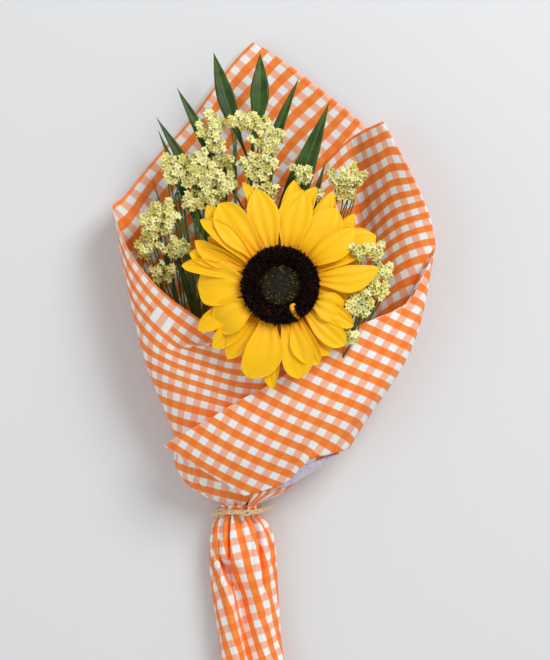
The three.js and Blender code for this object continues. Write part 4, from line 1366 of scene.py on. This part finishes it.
floret_bm = bmesh.new()
bmesh.ops.create_circle(floret_bm, segments=10, radius=FLORET_RADIUS, cap_ends=True, cap_tris=True)
bmesh.ops.subdivide_edges(floret_bm, edges=[e for e in floret_bm.edges if not e.is_boundary], cuts=1)
for vertex in floret_bm.verts:
    radius, turn = math.hypot(vertex.co.x, vertex.co.y), math.atan2(vertex.co.y, vertex.co.x)
    point = 0.5 + 0.5 * math.sin(5 * turn)
    if radius > FLORET_RADIUS * 0.75:
        grow, height = 0.6 + 0.48 * point, 0.4 + 0.5 * (1 - point)
    elif radius > 0.3:
        grow, height = 0.75 + 0.25 * point, 0.3 + 0.35 * point
    else:
        grow, height = 1.0, -0.5
    vertex.co = (vertex.co.x * grow, vertex.co.y * grow, height)

heart_bm, calyx_bm = bmesh.new(), bmesh.new()
add_cone(heart_bm, 5, 0.42, 0.1, 0.6, -0.05)
add_cone(calyx_bm, 5, 0.35, 1.15, 3.4, -2.2)
print("a floret has", len(floret_bm.faces), "faces")

# %% Where the sprays stand
SPRAYS = [                                # name, crowns (middle, half size), arch, place at neck, seed
    ("left_low", [((-58, 210, 46), (12, 11, 9)), ((-55, 221, 47), (8, 8, 7)), ((-47, 191, 44), (12, 9, 9)),
                  ((-70, 191, 42), (7, 8, 7)), ((-58, 173, 44), (10, 8, 8)), ((-66, 202, 44), (8, 9, 7))],
     2, 205, 1),
    ("left_mid", [((-45, 246, 50), (11, 15, 10)), ((-28, 245, 52), (10, 17, 10)),
                  ((-11, 236, 52), (9, 13, 9)), ((-32, 225, 48), (9, 10, 9)),
                  ((-52, 253, 48), (6, 9, 7)), ((-20, 228, 50), (9, 9, 8))],
     2, 175, 2),
    ("left_top", [((-20, 278, 50), (9, 13, 9)), ((-10, 255, 46), (7, 10, 7)), ((-17, 266, 48), (6, 7, 6))],
     0, 145, 3),
    ("top", [((-2, 284, 56), (9, 8, 8)), ((13, 282, 56), (10, 8, 8))], -8, 110, 4),
    ("centre", [((21, 266, 58), (11, 10, 8)), ((15, 247, 60), (12, 13, 9)), ((21, 232, 60), (8, 9, 8)),
                ((26, 272, 58), (6, 8, 6)), ((8, 250, 58), (6, 8, 7))], -8, 70, 5),
    ("right_top", [((73, 240, 56), (6, 9, 7)), ((84, 242, 58), (7, 10, 7)), ((46, 246, 50), (8, 8, 7)),
                   ((78, 232, 55), (6, 7, 6)), ((59, 232, 50), (3, 4, 3))], 0, 35, 6),
    ("right_low", [((87, 149, 92), (11, 12, 9)), ((85, 186, 101), (7, 7, 6)), ((99, 187, 94), (6, 8, 6)),
                   ((106, 173, 88), (6, 7, 6)), ((99, 160, 90), (9, 9, 8)), ((81, 128, 92), (4, 4, 4))],
     10, 0, 7)]
STEM_RING, NECK_SQUASH, NECK_HEIGHT = 7.5, 0.85, 17.0
FLORETS_PER_AREA = 0.13                   # florets for each square millimetre of a crown's outline
FLORETS_PER_LIMB = 13
FLORETS_PER_TWIG = 3.7
SPRAY_FULLNESS = 1.1                      # crowns reach past their drawn size by this
FAR_OUT = 1.6                             # a twig that ends further out than this is cut short


def spray_stem_route(middle, size, arch, degrees):
    """From the cut end in the tail, through the neck, to the crown of the spray."""
    turn = math.radians(degrees)
    across_neck, up = STEM_RING * math.cos(turn), STEM_RING * NECK_SQUASH * math.sin(turn)
    neck = np.array([across_neck, 0, NECK_HEIGHT + up])
    foot = np.array([9 + 1.7 * across_neck, -150, 9.5 + 0.6 * up])
    bend = np.array([3 + 1.3 * across_neck, -45, 11.0 + 0.6 * up])
    crown = np.array([middle[0], middle[1] - 0.7 * size[1], middle[2] - 0.5 * size[2]])
    halfway = (neck + crown) / 2 - (0, 0, arch)
    return smooth_line([foot, bend, neck, halfway, crown], 12)


print(len(SPRAYS), "sprays with", sum(len(spray[1]) for spray in SPRAYS), "crowns")

# %% Growing a limb and a spray
def grow_limb(twigs, line, middle, size, sprouts, rng):
    """Twigs leave a limb to both sides; each carries a short row of florets."""
    florets, shades = [], []
    for k in range(sprouts):
        share_up = 0.25 + 0.75 * (k + 1) / sprouts
        root = evenly(line, share_up)
        way = np.array([rng.choice((-1, 1)) * rng.uniform(0.3, 1), rng.uniform(0.2, 1.0),
                        rng.uniform(-0.2, 0.9)])
        length = size[:2].mean() * rng.uniform(0.25, 0.55) * (1.15 - 0.6 * share_up)
        tip = root + way / np.linalg.norm(way) * length
        if np.sum(((tip - middle) / size) ** 2) > FAR_OUT:
            tip = root + (tip - root) * 0.5
        twig = np.linspace(root, tip, 4)
        rolled_tube(twigs, twig, np.linspace(0.45, 0.28, 4), 4)
        for j in range(rng.randint(3, 5)):
            place = evenly(twig, 1 - 0.24 * j) + np.array([rng.uniform(-1.7, 1.7) for _ in range(3)])
            facing = np.array([rng.uniform(-.8, .8), rng.uniform(-.6, .8), rng.uniform(0.5, 1.2)])
            florets.append(placing(place + facing * 1.2, facing, rng.uniform(0.8, 1.1), rng.uniform(0, 6)))
            # Florets high in their crown take the pale painted highlight; the low ones take plain yellow or
            # the deep painted shade.
            height = (place[2] - middle[2]) / size[2] + rng.uniform(-0.8, 0.8)
            shades.append(0 if height > 0.15 else 1 if rng.random() < 0.6 else 2)
    return florets, shades


def grow_spray(name, crowns, arch, degrees, seed):
    """One spray: a stem that forks into crowns of fanned limbs, twigs and florets."""
    rng = random.Random(seed)
    first_middle, first_size = crowns[0]
    stem = spray_stem_route(np.array(first_middle, float), np.array(first_size, float), arch, degrees)
    twigs = bmesh.new()
    rolled_tube(twigs, stem, np.linspace(1.2, 0.8, len(stem)), 6)
    florets, shades = [], []
    for number, (middle, size) in enumerate(crowns):
        middle, size = np.array(middle, float), np.array(size, float) * SPRAY_FULLNESS
        wanted = FLORETS_PER_AREA * math.pi * size[0] * size[1]
        limbs = max(2, round(wanted / FLORETS_PER_LIMB))
        crown = middle - size * (0, 0.8, 0.5)
        for limb in range(limbs):
            spread = (limb + 0.5) / limbs * 2 - 1 + rng.uniform(-0.15, 0.15)
            reach = rng.uniform(0.7, 1.0)
            way = np.array([math.sin(spread * 1.3), math.cos(spread * 1.3) * 1.05 - 0.1,
                            rng.uniform(-0.1, 0.6)])
            end = middle + size * reach * way
            fork = evenly(stem, rng.uniform(0.72, 0.86) - 0.06 * (number > 0))
            here = crown + np.array([rng.uniform(-0.3, 0.3) * size[0], 0, rng.uniform(-.2, .3) * size[2]])
            sag = (here + end) / 2 + (0, 0, rng.uniform(0, 0.25) * size[2])
            whole = smooth_line([fork, here, sag, end], 10)
            rolled_tube(twigs, whole[:11], 0.5, 5)
            line = evenly(whole[10:], np.linspace(0, 1, 9))
            rolled_tube(twigs, line, np.linspace(0.5, 0.38, 9), 5)
            sprouts = max(3, round(wanted / limbs / FLORETS_PER_TWIG))
            new_florets, new_shades = grow_limb(twigs, line, middle, size, sprouts, rng)
            florets += new_florets
            shades += new_shades
    close_seams(twigs)
    stands_for(finished(twigs, f"statice_twigs_{name}", TWIG_GREEN), "spray_stem", f"statice_stem_{name}")
    heads = many(f"statice_florets_{name}", floret_bm, florets, shades,
                 (FLORET_PAINTED_LIGHT, FLORET_YELLOW, FLORET_PAINTED_SHADE))
    stands_for(heads, "statice_mass", f"statice_{name}")
    return florets


# %% The sprays
all_florets = [placed for spray in SPRAYS for placed in grow_spray(*spray)]
stands_for(many("statice_hearts", heart_bm, all_florets, [0] * len(all_florets), (HEART,)), "statice_mass")
stands_for(many("statice_calyces", calyx_bm, all_florets, [0] * len(all_florets), (CALYX_GREEN,)),
           "statice_mass")
for small_shape in (floret_bm, heart_bm, calyx_bm):
    small_shape.free()
print(len(all_florets), "statice florets")

# %% [markdown]
# ## Floor, light and camera
# The bouquet is seen from straight above, as a hand would hold a camera over a table. A large
# soft light from the upper right gives the paper its gentle shading and a weak one fills. The
# camera stands high with a long lens, so what is near it looks hardly larger than what lies low.

# %% Floor
FLOOR_HALF_SIDE = 9                       # in metres, so that low views still end on the floor

floor_bm = bmesh.new()
bmesh.ops.create_grid(floor_bm, x_segments=1, y_segments=1, size=FLOOR_HALF_SIDE)
floor_mesh = bpy.data.meshes.new("floor")
floor_bm.to_mesh(floor_mesh)
floor_bm.free()
floor = bpy.data.objects.new("floor", floor_mesh)
bpy.context.scene.collection.objects.link(floor)
floor_finish = Finish("pale_floor", base_color=colour(226, 228, 230), roughness=0.9)
floor_mesh.materials.append(floor_finish.material)
print("the floor is", 2 * FLOOR_HALF_SIDE, "m wide")


# %% Light
def soft_light(name, place, size, power):
    """A square lamp, in metres and watts, that is turned towards the bouquet."""
    lamp = bpy.data.lights.new(name, "AREA")
    lamp.energy, lamp.size = power, size
    holder = bpy.data.objects.new(name, lamp)
    holder.location = place
    holder.rotation_euler = (-Vector(place)).to_track_quat("-Z", "Y").to_euler()
    bpy.context.scene.collection.objects.link(holder)


soft_light("key", (1.0, 1.1, 1.6), 1.0, 28)
soft_light("fill", (-1.4, -0.6, 1.6), 1.8, 8)
world = bpy.data.worlds.new("studio")
world.use_nodes = True
background = world.node_tree.nodes["Background"]
background.inputs["Color"].default_value = (1, 1, 1, 1)
background.inputs["Strength"].default_value = 0.47
bpy.context.scene.world = world
bpy.context.scene.view_settings.view_transform = "Standard"
print("the key light is", bpy.data.lights["key"].size, "m wide")

# %% Camera
EYE = Vector((26.7, 133.7, 1500))         # straight above the lower petals, from the tie's zero

camera = bpy.data.cameras.new("camera")
camera.sensor_width, camera.lens = 36, 107.6
eye = bpy.data.objects.new("camera", camera)
eye.location = ZERO + EYE * MM
bpy.context.scene.collection.objects.link(eye)
bpy.context.scene.camera = eye
print("the camera is", round(eye.location.z, 2), "m above the floor")
